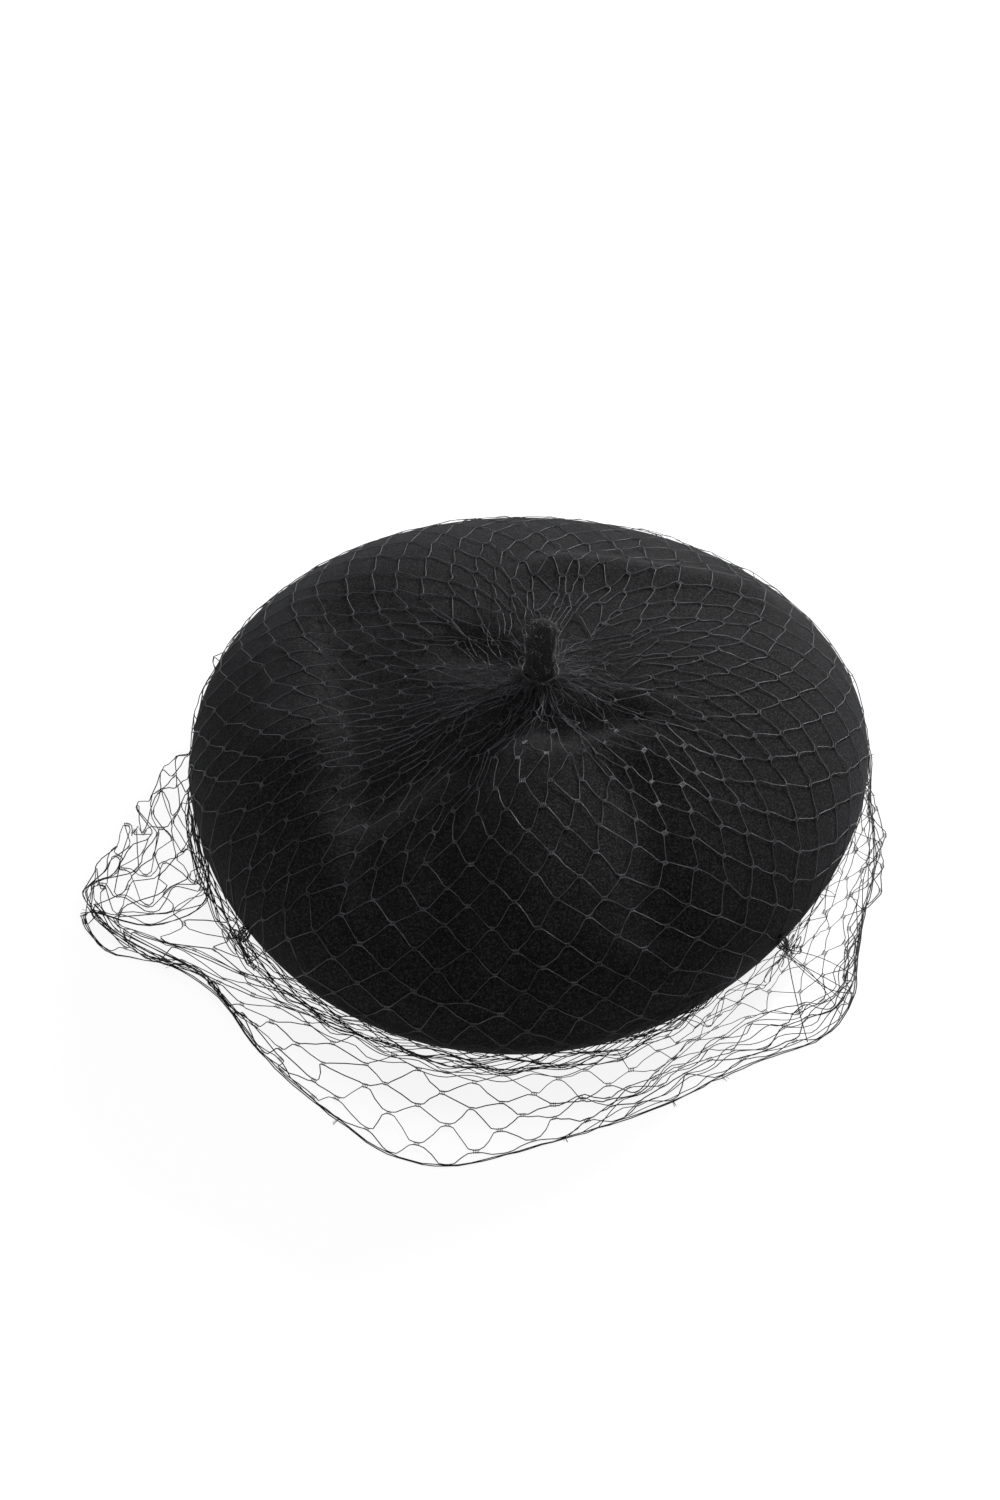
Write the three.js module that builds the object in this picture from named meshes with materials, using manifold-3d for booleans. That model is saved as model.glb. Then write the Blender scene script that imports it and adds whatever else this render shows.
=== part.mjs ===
// A black wool-felt beret with a stalk, and a netting veil gathered round the stalk.
// Millimetres, +Z up. The hat is drawn round the stalk's axis, with z = 0 on the rim plane,
// and the whole group is then moved so that it stands on z = 0 under the middle of its box.
import * as THREE from "three";
import { mergeVertices } from "three/addons/utils/BufferGeometryUtils.js";
import Module from "manifold-3d";

const wasm = await Module();
wasm.setup();

// Driving dimensions
const RIM_RADIUS = 140;
const CROWN_RISE = 54.5;
const CROWN_POWER = 2.384;
const RIM_HEIGHT = 31;
const FELT = 3;
const MOUTH_RADIUS = 92;
const TURN_UNDER = 5;
const GAP = 0.35;
const NET = 0.7;
const AROUND = 48;
const TINY = 1e-6;

// How full the underside is: its curve swings this far out, and this far above the edge.
const BELLY = { out: 12, up: 4 };

// The rim isn't a true circle: each pair bulges it by (cosine, sine) once, twice and three times round.
const RIM_BULGES = [
  [-6, 8],
  [-0.9, 1.6],
  [1.6, 3.2],
];

// Soft folds in the crown, as lines in plan. Height is up for a ridge, and down for a valley.
// A fold fades over `left` on its left side, walking along the line, and over `right` on the other.
const FOLDS = [
  { line: [[-84, 44], [-74, -4], [-65, -48], [-64, -82]], height: -7.5, left: 36, right: 11 },
  { line: [[-23, -41], [-36, -72], [-33, -99], [-28, -120]], height: -5, left: 10, right: 10 },
  { line: [[-4, -44], [-4, -90], [-4, -134]], height: 4, left: 17, right: 17 },
  { line: [[36, -51], [40, -82], [43, -104]], height: -5, left: 15, right: 13 },
  { line: [[8, -27], [35, -16]], height: -4, left: 7, right: 7 },
  { line: [[8, 77], [46, 74], [89, 75]], height: 4, left: 7, right: 13 },
  { line: [[-8, 10], [-30, 22]], height: -5, left: 11, right: 11 },
  { line: [[-10, -24], [-40, -38], [-64, -52]], height: -4.5, left: 9, right: 16 },
  { line: [[-100, -20], [-100, -22]], height: 4, left: 22, right: 22 },
  { line: [[0, 0], [0, 1]], height: 5, left: 15, right: 15 },
];
const FOLD_FADE = [0.84, 1];

// The veil's hem where it lies on the table: [degrees from +X, distance from the stalk's axis].
const HEM = [
  [1, 144], [20, 156], [60, 153], [105, 158], [135, 160], [165, 157], [180, 175], [194, 194],
  [204, 160], [222, 157], [240, 169], [254, 175], [272, 159], [300, 146], [314, 158], [325, 153],
  [338, 134], [349, 140],
];

const STALK = { radius: 5.6, height: 27, lean: [1.6, 2.2] };
const BINDING = { radius: 7.6, thread: 1.1, rise: 2.2 };
const BAND = { thickness: 1, height: 27, gap: 0.5, foot: 0.8 };
const STITCH = { thread: 0.7, rise: 3 };
const BOW = { ribbon: 7, loop: 19, tail: 10, thickness: 1.1, rise: 16, waist: 1.6, bulge: 2, knot: 0.85 };
const LABEL = { thickness: 0.5, half_angle: 10, low: 8, high: 21, at: 180 };
const TACKS = [-42, 46, 138, 215];
const TACK = { radius: 0.9, length: 5, off: 0.6 };
const LIFT_LINE = -138;
const LIFT_GAP = 0.6;

// The fall's section: how far it stands off the rim, swells out, drops and skims the table.
const FALL = { off: 0.25, start: -0.4, swell: 1.5, drop: 0.55, skim: 2.5, splay: 0.3 };
const HEM_STEPS = 720;

const COLOURS = {
  felt: 0x141416,
  net: 0x1a1a1c,
  thread: 0x1e1e20,
  band: 0x17161a,
  ribbon: 0x202024,
  label: 0x2a2a2e,
};

const root = new THREE.Group();
root.name = "veiled_beret";

function material(color, roughness) {
  return new THREE.MeshStandardMaterial({ color, roughness, metalness: 0 });
}

function place(name, geometry, finish, parent = root) {
  const mesh = new THREE.Mesh(geometry, finish);
  mesh.name = name;
  parent.add(mesh);
  return mesh;
}

const smooth = THREE.MathUtils.smoothstep;

function rimRadius(turn) {
  return RIM_BULGES.reduce(
    (radius, [c, s], i) => radius + c * Math.cos((i + 1) * turn) + s * Math.sin((i + 1) * turn),
    RIM_RADIUS,
  );
}

// How far a plan point lies from a fold's line, and on which side of it: 1 is squarely to the
// left, -1 squarely to the right, and 0 straight beyond an end.
function fromLine(line, x, y) {
  let best = { distance: Infinity, side: 0 };
  for (let i = 1; i < line.length; i++) {
    const [ax, ay] = line[i - 1];
    const [dx, dy] = [line[i][0] - ax, line[i][1] - ay];
    const along = ((x - ax) * dx + (y - ay) * dy) / (dx * dx + dy * dy);
    const share = THREE.MathUtils.clamp(along, 0, 1);
    const [px, py] = [x - ax - share * dx, y - ay - share * dy];
    const distance = Math.hypot(px, py);
    const side = (dx * py - dy * px) / (Math.hypot(dx, dy) * Math.max(distance, TINY));
    if (distance < best.distance) best = { distance, side };
  }
  return best;
}

function foldHeight(x, y) {
  return FOLDS.reduce((height, fold) => {
    const { distance, side } = fromLine(fold.line, x, y);
    const fade = THREE.MathUtils.lerp(fold.right, fold.left, smooth(side, -1, 1));
    return height + fold.height * Math.exp(-((distance / fade) ** 2));
  }, 0);
}

// A point on the felt's outside: share runs 0 to 1 from the stalk to the rim.
function crownPoint(turn, share) {
  const lean = (share * Math.PI) / 2;
  const reach = Math.sin(lean) ** (2 / CROWN_POWER);
  const radius = rimRadius(turn) * reach;
  const x = radius * Math.cos(turn);
  const y = radius * Math.sin(turn);
  const fold = foldHeight(x, y) * (1 - smooth(reach, ...FOLD_FADE));
  return new THREE.Vector3(x, y, CROWN_RISE * Math.cos(lean) + fold);
}

// The same under the rim: share runs 0 to 1 from the rim to the flat, turned-under edge.
function underPoint(turn, share) {
  const rim = rimRadius(turn);
  const flat = MOUTH_RADIUS + TURN_UNDER;
  const curve = new THREE.CubicBezierCurve(
    new THREE.Vector2(rim, 0),
    new THREE.Vector2(rim, -RIM_HEIGHT / 2),
    new THREE.Vector2((rim + 3 * flat) / 4 + BELLY.out, BELLY.up - RIM_HEIGHT),
    new THREE.Vector2(flat, -RIM_HEIGHT),
  );
  const { x: radius, y: z } = curve.getPoint(share);
  return new THREE.Vector3(radius * Math.cos(turn), radius * Math.sin(turn), z);
}

// A point moved off a surface along its normal. Positive is away from the inside of the hat.
function offset(surface, turn, share, distance) {
  const step = 0.01;
  const here = surface(turn, share);
  const round = surface(turn + step, share).sub(surface(turn - step, share));
  const low = Math.max(share - step, 0.001);
  const high = Math.min(share + step, 1);
  const down = surface(turn, high).sub(surface(turn, low));
  return here.add(down.cross(round).normalize().multiplyScalar(distance));
}

const turns = Array.from({ length: AROUND }, (_, i) => (2 * Math.PI * i) / AROUND);

function ring(surface, share, distance) {
  return turns.map((turn) =>
    distance ? offset(surface, turn, share, distance) : surface(turn, share),
  );
}

const widens = (a, b) => Math.hypot(a.x, a.y) < Math.hypot(b.x, b.y);

// A closed skin over rings of points. A first and last item that are single points are poles;
// without them the last ring joins the first. Each square is split from its inner ring's corner
// to its outer ring's, whichever comes first, so that two skins over the same rings never cross.
function skin(rows) {
  const points = rows.flat();
  const poles = !Array.isArray(rows[0]);
  const starts = [];
  let count = 0;
  for (const row of rows) {
    starts.push(count);
    count += Array.isArray(row) ? row.length : 1;
  }
  const index = [];
  const bands = poles ? rows.length - 1 : rows.length;
  for (let r = 0; r < bands; r++) {
    const next = (r + 1) % rows.length;
    for (let i = 0; i < AROUND; i++) {
      const j = (i + 1) % AROUND;
      const [a, b, c, d] = [starts[r] + i, starts[r] + j, starts[next] + j, starts[next] + i];
      if (!Array.isArray(rows[r])) index.push(starts[r], d, c);
      else if (!Array.isArray(rows[next])) index.push(a, starts[next], b);
      else if (widens(points[a], points[d])) index.push(a, d, c, a, c, b);
      else index.push(a, d, b, b, d, c);
    }
  }
  const geometry = new THREE.BufferGeometry().setFromPoints(points);
  geometry.setIndex(index);
  geometry.computeVertexNormals();
  return geometry;
}

const shares = (count, from, to) =>
  Array.from({ length: count }, (_, i) => from + ((to - from) * i) / (count - 1));

// The felt and the net on it share these rings, so that the net keeps its gap everywhere.
const crownShares = [0.022, ...shares(14, 0.06, 0.98), 1];

// Felt body: the outside from the top to the mouth, and back up the inside.
function feltBody() {
  const mouth = turns.map((turn) =>
    new THREE.Vector3(Math.cos(turn), Math.sin(turn), 0).multiplyScalar(MOUTH_RADIUS),
  );
  const level = (z) => mouth.map((p) => p.clone().setZ(z));
  return skin([
    new THREE.Vector3(0, 0, crownPoint(0, 0).z),
    ...crownShares.map((share) => ring(crownPoint, share, 0)),
    ...shares(5, 0.2, 1).map((share) => ring(underPoint, share, 0)),
    level(-RIM_HEIGHT),
    level(FELT - RIM_HEIGHT),
    ...shares(4, 0.88, 0.15).map((share) => ring(underPoint, share, -FELT)),
    ...shares(9, 0.97, 0.1).map((share) => ring(crownPoint, share, -FELT)),
    new THREE.Vector3(0, 0, crownPoint(0, 0).z - FELT),
  ]);
}

// The net on the crown, a thin skin just off the felt, from the binding to the rim.
function veilCrown() {
  const all = crownShares.slice(0, -1);
  const inside = all.map((share) => ring(crownPoint, share, GAP));
  const outside = all.map((share) => ring(crownPoint, share, GAP + NET));
  return skin([...outside, ...inside.reverse()]);
}

const hemCurve = new THREE.CatmullRomCurve3(
  HEM.map(([degrees, radius]) => {
    const turn = THREE.MathUtils.degToRad(degrees);
    return new THREE.Vector3(radius * Math.cos(turn), radius * Math.sin(turn), 0);
  }),
  true,
  "centripetal",
);
const hemPoints = hemCurve.getPoints(HEM_STEPS);

function hemRadius(turn) {
  const facing = new THREE.Vector3(Math.cos(turn), Math.sin(turn), 0);
  const best = hemPoints.reduce((a, b) =>
    b.dot(facing) / b.length() > a.dot(facing) / a.length() ? b : a,
  );
  return best.length();
}

// The net's fall: out over the rim, down, and out along the table to the hem.
function veilFall() {
  const profile = (turn) => {
    const rim = rimRadius(turn) + GAP + NET + FALL.off;
    const hem = hemRadius(turn);
    return new THREE.CubicBezierCurve(
      new THREE.Vector2(rim, FALL.start),
      new THREE.Vector2(rim + FALL.swell, -FALL.drop * RIM_HEIGHT),
      new THREE.Vector2((rim + hem) / 2, FALL.skim - RIM_HEIGHT),
      new THREE.Vector2(hem, NET - RIM_HEIGHT),
    );
  };
  const side = (share, distance) =>
    turns.map((turn) => {
      const curve = profile(turn);
      const { x, y } = curve.getPoint(share);
      const along = curve.getTangent(share);
      const radius = x - along.y * distance;
      const z = Math.max(y + along.x * distance, -RIM_HEIGHT);
      return new THREE.Vector3(radius * Math.cos(turn), radius * Math.sin(turn), z);
    });
  const all = shares(6, 0, 1);
  const outside = all.map((share) => side(share, NET / 2));
  const inside = all.map((share) => side(share, -NET / 2 - FALL.splay * share));
  return skin([...outside, ...inside.reverse()]);
}

// Booleans: a geometry as a solid, and back.
function solid(geometry) {
  const plain = geometry.clone();
  plain.deleteAttribute("normal");
  plain.deleteAttribute("uv");
  const merged = mergeVertices(plain, 1e-3);
  return new wasm.Manifold(
    new wasm.Mesh({
      numProp: 3,
      vertProperties: merged.attributes.position.array,
      triVerts: new Uint32Array(merged.index.array),
    }),
  );
}

function geometryOf(body) {
  const mesh = body.getMesh();
  const geometry = new THREE.BufferGeometry();
  geometry.setAttribute("position", new THREE.BufferAttribute(mesh.vertProperties, 3));
  geometry.setIndex(new THREE.BufferAttribute(mesh.triVerts, 1));
  geometry.computeVertexNormals();
  return geometry;
}

// Everything in front of a line across the hat, as a box to cut with.
function inFront(y) {
  const size = 3 * RIM_RADIUS;
  return solid(new THREE.BoxGeometry(size, size, size).translate(0, y - size / 2, 0));
}

function largest(body) {
  return body.decompose().reduce((a, b) => (b.volume() > a.volume() ? b : a));
}

function hoop(radius, width, z) {
  const half = width / 2;
  const section = shares(7, 0, 2 * Math.PI).map(
    (angle) => new THREE.Vector2(radius + half * Math.cos(angle), half * Math.sin(angle)),
  );
  section[section.length - 1].copy(section[0]);
  return new THREE.LatheGeometry(section, AROUND).rotateX(Math.PI / 2).translate(0, 0, z);
}

const feltFinish = material(COLOURS.felt, 0.95);
const netFinish = material(COLOURS.net, 0.6);
const threadFinish = material(COLOURS.thread, 0.7);
const ribbonFinish = material(COLOURS.ribbon, 0.65);

place("felt_body", feltBody(), feltFinish);

// Stalk: a rounded nub, leaning a little, standing just clear of the top.
{
  const { radius, height, lean } = STALK;
  const round = shares(5, 0, 1).map((share) => {
    const angle = (share * Math.PI) / 2;
    return new THREE.Vector2(radius * Math.cos(angle), height - radius * (1 - Math.sin(angle)));
  });
  round[round.length - 1].x = 0;
  const profile = [new THREE.Vector2(0, 0), new THREE.Vector2(radius, 0), ...round];
  const stalk = new THREE.LatheGeometry(profile, 16).rotateX(Math.PI / 2);
  const places = stalk.getAttribute("position");
  for (let i = 0; i < places.count; i++) {
    const up = (places.getZ(i) / height) ** 2;
    places.setX(i, places.getX(i) + lean[0] * up);
    places.setY(i, places.getY(i) + lean[1] * up);
  }
  stalk.computeVertexNormals();
  const top = crownPoint(0, 0).z;
  place("stalk", stalk, feltFinish).position.z = top + GAP;
  place(
    "stalk_binding",
    hoop(BINDING.radius, BINDING.thread, 0),
    threadFinish,
  ).position.z = top + BINDING.rise;
}

place("veil_crown", veilCrown(), netFinish);

// The fall is cut across the front: what is beyond the line lifts, the rest stays.
{
  const fall = solid(veilFall());
  const fixed = largest(fall.subtract(inFront(LIFT_LINE + LIFT_GAP / 2)));
  const lifting = largest(fall.intersect(inFront(LIFT_LINE - LIFT_GAP / 2)));
  place("veil_skirt", geometryOf(fixed), netFinish);
  place("veil_front", geometryOf(lifting), netFinish);
}

// Tacks: a few turns of thread that catch the net at the rim.
TACKS.forEach((degrees, i) => {
  const turn = THREE.MathUtils.degToRad(degrees);
  const out = rimRadius(turn) + 2 * (GAP + NET) + TACK.radius + TACK.off;
  const tack = new THREE.CapsuleGeometry(TACK.radius, TACK.length, 3, 8).rotateX(Math.PI / 2);
  const mesh = place(`veil_tack_${i + 1}`, tack, threadFinish);
  mesh.position.set(out * Math.cos(turn), out * Math.sin(turn), -TACK.length / 2);
});

// Sweatband: a hoop of band standing inside the mouth, with its line of stitching.
const bandOuter = MOUTH_RADIUS - BAND.gap;
const bandInner = bandOuter - BAND.thickness;
{
  const low = BAND.foot;
  const section = [
    [bandInner, low],
    [bandOuter, low],
    [bandOuter, low + BAND.height],
    [bandInner, low + BAND.height],
    [bandInner, low],
  ].map(([x, y]) => new THREE.Vector2(x, y));
  const band = new THREE.LatheGeometry(section, AROUND).rotateX(Math.PI / 2);
  place("sweatband", band, material(COLOURS.band, 0.45)).position.z = -RIM_HEIGHT;
  const stitched = bandInner - GAP - STITCH.thread / 2;
  const stitches = hoop(stitched, STITCH.thread, STITCH.rise);
  place("sweatband_stitching", stitches, threadFinish).position.z = -RIM_HEIGHT;
}

// Bow at the back of the band: a knot, two loops and two tails of narrow ribbon, lying flat.
{
  const { ribbon, loop, tail, thickness, rise, waist, bulge } = BOW;
  const knotHalf = ribbon / 2;
  const reach = knotHalf + loop + GAP + bulge;
  const bow = new THREE.Group();
  bow.position.set(0, Math.sqrt(bandInner ** 2 - reach ** 2) - thickness, rise - RIM_HEIGHT);
  root.add(bow);
  const extrude = (shape) =>
    new THREE.ExtrudeGeometry(shape, { depth: thickness, bevelEnabled: false, curveSegments: 6 })
      .rotateX(Math.PI / 2)
      .translate(0, thickness / 2, 0);
  const knotShape = new THREE.Shape();
  knotShape.absellipse(0, 0, knotHalf, knotHalf * BOW.knot, 0, 2 * Math.PI);
  place("bow_knot", extrude(knotShape), ribbonFinish, bow);
  for (const [side, way] of [["left", -1], ["right", 1]]) {
    const near = knotHalf + GAP;
    const loopShape = new THREE.Shape();
    loopShape.moveTo(near, -waist);
    loopShape.quadraticCurveTo(near + loop / 2, -ribbon, near + loop, -ribbon / 3);
    loopShape.quadraticCurveTo(near + loop + bulge, 1, near + loop, ribbon / 2);
    loopShape.quadraticCurveTo(near + loop / 2, ribbon, near, waist);
    loopShape.closePath();
    const loopGeometry = extrude(loopShape);
    const tailShape = new THREE.Shape();
    tailShape.moveTo(-ribbon / 3, 0);
    tailShape.lineTo(ribbon / 3, 0);
    tailShape.lineTo(ribbon / 2, -tail);
    tailShape.lineTo(-ribbon / 4, -tail);
    tailShape.closePath();
    const tailGeometry = extrude(tailShape);
    if (way < 0) {
      loopGeometry.rotateZ(Math.PI);
      tailGeometry.rotateZ(Math.PI);
    }
    place(`bow_${side}_loop`, loopGeometry, ribbonFinish, bow);
    const hanging = place(`bow_${side}_tail`, tailGeometry, ribbonFinish, bow);
    hanging.position.set((way * ribbon) / 2, 0, -ribbon / 2 - GAP);
  }
}

// Label: a blank strip sewn flat to the band.
{
  const outer = bandInner * Math.cos(Math.PI / AROUND) - GAP;
  const half = THREE.MathUtils.degToRad(LABEL.half_angle);
  const shape = new THREE.Shape();
  shape.absarc(0, 0, outer, -half, half, false);
  shape.absarc(0, 0, outer - LABEL.thickness, half, -half, true);
  shape.closePath();
  const depth = LABEL.high - LABEL.low;
  const label = new THREE.ExtrudeGeometry(shape, { depth, bevelEnabled: false, curveSegments: 6 });
  const mesh = place("label", label, material(COLOURS.label, 0.6));
  mesh.rotation.z = THREE.MathUtils.degToRad(LABEL.at);
  mesh.position.z = LABEL.low - RIM_HEIGHT;
}

const box = new THREE.Box3().setFromObject(root, true);
const middle = box.getCenter(new THREE.Vector3());
root.position.set(-middle.x, -middle.y, -box.min.z);

export default root;
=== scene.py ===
import math

import bmesh
import bpy
import numpy as np
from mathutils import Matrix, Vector


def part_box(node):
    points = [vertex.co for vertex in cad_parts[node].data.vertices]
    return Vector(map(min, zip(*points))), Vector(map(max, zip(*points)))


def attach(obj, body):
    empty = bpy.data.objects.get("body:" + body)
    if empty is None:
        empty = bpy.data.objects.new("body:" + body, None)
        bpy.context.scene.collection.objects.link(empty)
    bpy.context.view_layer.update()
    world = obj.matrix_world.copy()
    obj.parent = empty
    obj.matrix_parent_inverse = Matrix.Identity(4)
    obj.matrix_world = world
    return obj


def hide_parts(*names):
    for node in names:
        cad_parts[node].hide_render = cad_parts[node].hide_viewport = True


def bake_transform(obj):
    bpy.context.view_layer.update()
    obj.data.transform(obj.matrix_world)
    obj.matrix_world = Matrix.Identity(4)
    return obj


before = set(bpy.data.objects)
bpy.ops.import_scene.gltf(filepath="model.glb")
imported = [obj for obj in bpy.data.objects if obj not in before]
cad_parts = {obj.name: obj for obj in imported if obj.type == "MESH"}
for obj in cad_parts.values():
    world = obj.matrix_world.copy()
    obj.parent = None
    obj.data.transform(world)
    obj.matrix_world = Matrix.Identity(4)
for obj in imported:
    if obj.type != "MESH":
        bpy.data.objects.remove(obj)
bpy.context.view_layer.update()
rng = np.random.default_rng(7)


# ---- Felt body ------------------------------------------------------------------------------
# The beret itself: one seamless shell of fulled wool felt 3 mm thick, knitted, shrunk and
# blocked over a form, its edge turned under to a round mouth. It lies a little out of round,
# with soft folds in the crown where it has been handled.
RIM_RADIUS = 140
CROWN_RISE = 54.5
CROWN_POWER = 2.384
RIM_HEIGHT = 31
FELT = 3
MOUTH_RADIUS = 92
TURN_UNDER = 5
FOLD_FADE = (0.84, 1)

# (cosine, sine) bulges of the rim once, twice and three times round.
RIM_BULGES = ((-6, 8), (-0.9, 1.6), (1.6, 3.2))

# Each fold: its line in plan, its height (down for a valley), and how far it fades on the
# left and on the right of the line. Beyond the line's ends the two sides run into each other.
FOLDS = (
    (((-84, 44), (-74, -4), (-65, -48), (-64, -82)), -7.5, 36, 11),
    (((-23, -41), (-36, -72), (-33, -99), (-28, -120)), -5, 10, 10),
    (((-4, -44), (-4, -90), (-4, -134)), 4, 17, 17),
    (((36, -51), (40, -82), (43, -104)), -5, 15, 13),
    (((8, -27), (35, -16)), -4, 7, 7),
    (((8, 77), (46, 74), (89, 75)), 4, 7, 13),
    (((-8, 10), (-30, 22)), -5, 11, 11),
    (((-10, -24), (-40, -38), (-64, -52)), -4.5, 9, 16),
    (((-100, -20), (-100, -22)), 4, 22, 22),
    (((0, 0), (0, 1)), 5, 15, 15),
)

band_low, band_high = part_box("sweatband")
felt_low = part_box("felt_body")[0]
axis_point = np.array([(band_low.x + band_high.x) / 2, (band_low.y + band_high.y) / 2, felt_low.z])
axis_point[2] += RIM_HEIGHT / 1000


def placed(points):
    """Points in the hat's millimetres, as metres in the model's frame."""
    return np.asarray(points, float) / 1000 + axis_point


def polar(turn, radius, height):
    """Cylindrical to plain coordinates; the arguments can be arrays."""
    return np.stack(np.broadcast_arrays(radius * np.cos(turn), radius * np.sin(turn), height), -1)


def smooth(x, low, high):
    t = np.clip((x - low) / (high - low), 0, 1)
    return t * t * (3 - 2 * t)


def rim_radius(turn):
    radius = RIM_RADIUS + 0 * turn
    for times, (cosine, sine) in enumerate(RIM_BULGES, 1):
        radius = radius + cosine * np.cos(times * turn) + sine * np.sin(times * turn)
    return radius


def fold_height(x, y):
    total = np.zeros_like(x)
    for line, height, left, right in FOLDS:
        nearest = np.full(x.shape, np.inf)
        side = np.zeros(x.shape)
        for (ax, ay), (bx, by) in zip(line, line[1:]):
            dx, dy = bx - ax, by - ay
            along = np.clip(((x - ax) * dx + (y - ay) * dy) / (dx * dx + dy * dy), 0, 1)
            px, py = x - ax - along * dx, y - ay - along * dy
            distance = np.hypot(px, py)
            turned = (dx * py - dy * px) / (math.hypot(dx, dy) * np.maximum(distance, 1e-6))
            side = np.where(distance < nearest, turned, side)
            nearest = np.minimum(distance, nearest)
        fade = right + (left - right) * smooth(side, -1, 1)
        total += height * np.exp(-((nearest / fade) ** 2))
    return total


def crown(turn, share):
    """Radius and height on the felt's outside, from the stalk (share 0) to the rim (share 1)."""
    lean = share * np.pi / 2
    reach = np.sin(lean) ** (2 / CROWN_POWER)
    radius = rim_radius(turn) * reach
    fold = fold_height(radius * np.cos(turn), radius * np.sin(turn))
    return radius, CROWN_RISE * np.cos(lean) + fold * (1 - smooth(reach, *FOLD_FADE))


def under(turn, share):
    """The same below the rim, from the rim (share 0) to the flat turned-under edge (share 1)."""
    rim = rim_radius(turn)
    flat = MOUTH_RADIUS + TURN_UNDER
    back = 1 - share
    radius = (
        back**3 * rim
        + 3 * back**2 * share * rim
        + 3 * back * share**2 * ((rim + 3 * flat) / 4 + 12)
        + share**3 * flat
    )
    height = -3 * back**2 * share * RIM_HEIGHT / 2 - 3 * back * share**2 * (RIM_HEIGHT - 4)
    return radius, height - share**3 * RIM_HEIGHT + 0 * turn


def ring_faces(rings, around, first=0, closed=False):
    """Quads between rings of points that follow each other, facing out when they run downwards."""
    faces = []
    for ring in range(rings if closed else rings - 1):
        here = first + ring * around
        after = first + (ring + 1) % rings * around
        for i in range(around):
            j = (i + 1) % around
            faces.append((here + i, after + i, after + j, here + j))
    return faces


def piece(name, points, faces, finish, edges=(), uvs=None):
    """A smooth mesh object from points in the hat's millimetres."""
    mesh = bpy.data.meshes.new(name)
    mesh.from_pydata(placed(points).tolist(), edges, faces)
    if finish is not None:
        mesh.materials.append(finish)
    mesh.polygons.foreach_set("use_smooth", [True] * len(mesh.polygons))
    if uvs is not None:
        corner = np.empty(len(mesh.loops), int)
        mesh.loops.foreach_get("vertex_index", corner)
        mesh.uv_layers.new(name="along").data.foreach_set("uv", np.asarray(uvs)[corner].ravel())
    mesh.update()
    made = bpy.data.objects.new(name, mesh)
    bpy.context.scene.collection.objects.link(made)
    return made


def colour(code, alpha=1):
    """An sRGB hex code as linear RGBA."""
    shares = [int(code[i : i + 2], 16) / 255 for i in (1, 3, 5)]
    linear = [s / 12.92 if s <= 0.04045 else ((s + 0.055) / 1.055) ** 2.4 for s in shares]
    return (*linear, alpha)


def add(tree, kind, inputs=(), to=None, stops=(), **settings):
    """Adds a node: its settings, its inputs as values, nodes (first output) or outputs, the
    socket that it leads to, and a ramp's stops as (place, colour)."""
    made = tree.nodes.new(kind)
    for name, value in settings.items():
        setattr(made, name, value)
    for number, (place, code) in enumerate(stops):
        made.color_ramp.elements[number].position = place
        made.color_ramp.elements[number].color = colour(code)
    for name, given in dict(inputs).items():
        for value in given if isinstance(given, list) else [given]:
            if isinstance(value, bpy.types.Node):
                value = value.outputs[0]
            if isinstance(value, bpy.types.NodeSocket):
                tree.links.new(value, made.inputs[name])
            else:
                made.inputs[name].default_value = value
    if to is not None:
        tree.links.new(made.outputs[0], to)
    return made


def new_finish(name, **sockets):
    """A material, its tree and its Principled shader, with the shader's own sockets set."""
    made = bpy.data.materials.new(name)
    made.use_nodes = True
    shader = made.node_tree.nodes["Principled BSDF"]
    for socket, value in sockets.items():
        shader.inputs[socket.replace("_", " ").title().replace("Ior", "IOR")].default_value = value
    return made, made.node_tree, shader


# Fulled wool felt: a dead-matt nap of matted fibres. It gives the eye soft blotches a few
# millimetres across, a fine hairy grain, and a pale bloom where it turns away (the sheen).
FELT_BLOTCH = 5
FELT_GRAIN = 0.8
felt_finish, tree, shader = new_finish(
    "fulled black wool felt",
    roughness=0.95,
    specular_ior_level=0.12,
    sheen_weight=0.05,
    sheen_roughness=0.45,
    sheen_tint=colour("#c9cbd6"),
)
spot = add(tree, "ShaderNodeTexCoord").outputs["Object"]
blotch = add(
    tree,
    "ShaderNodeTexNoise",
    {"Vector": spot, "Scale": 1000 / FELT_BLOTCH, "Detail": 4, "Roughness": 0.6},
)
grain = add(
    tree,
    "ShaderNodeTexNoise",
    {"Vector": spot, "Scale": 1000 / FELT_GRAIN, "Detail": 3, "Roughness": 0.7, "Distortion": 0.6},
)
mass = {"Fac": blotch}
mass = add(tree, "ShaderNodeValToRGB", mass, stops=((0.34, "#050506"), (0.68, "#0a0a0b")))
nap = {"Fac": grain}
nap = add(tree, "ShaderNodeValToRGB", nap, stops=((0.48, "#000000"), (0.61, "#2b2b2c")))
felt_tone = add(
    tree,
    "ShaderNodeMixRGB",
    {"Fac": 0.8, "Color1": mass, "Color2": nap},
    to=shader.inputs["Base Color"],
    blend_type="ADD",
)
rough = add(tree, "ShaderNodeBump", {"Height": blotch, "Distance": 0.0006, "Strength": 0.35})
hairy = {"Height": grain, "Distance": 0.0004, "Strength": 0.9, "Normal": rough}
add(tree, "ShaderNodeBump", hairy, to=shader.inputs["Normal"])

AROUND = 300


def full_circle(count):
    return np.arange(count) * 2 * np.pi / count


turns = full_circle(AROUND)


def felt_ring(surface, share, inside=0):
    """A ring of points on the felt's outside, or the given thickness further in."""
    radius, height = surface(turns, share)
    if inside:
        step = 0.004
        r0, z0 = surface(turns, max(share - step, 0))
        r1, z1 = surface(turns, min(share + step, 1))
        run = np.hypot(r1 - r0, z1 - z0)
        radius, height = radius + inside * (z1 - z0) / run, height - inside * (r1 - r0) / run
    return polar(turns, radius, height)


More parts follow.
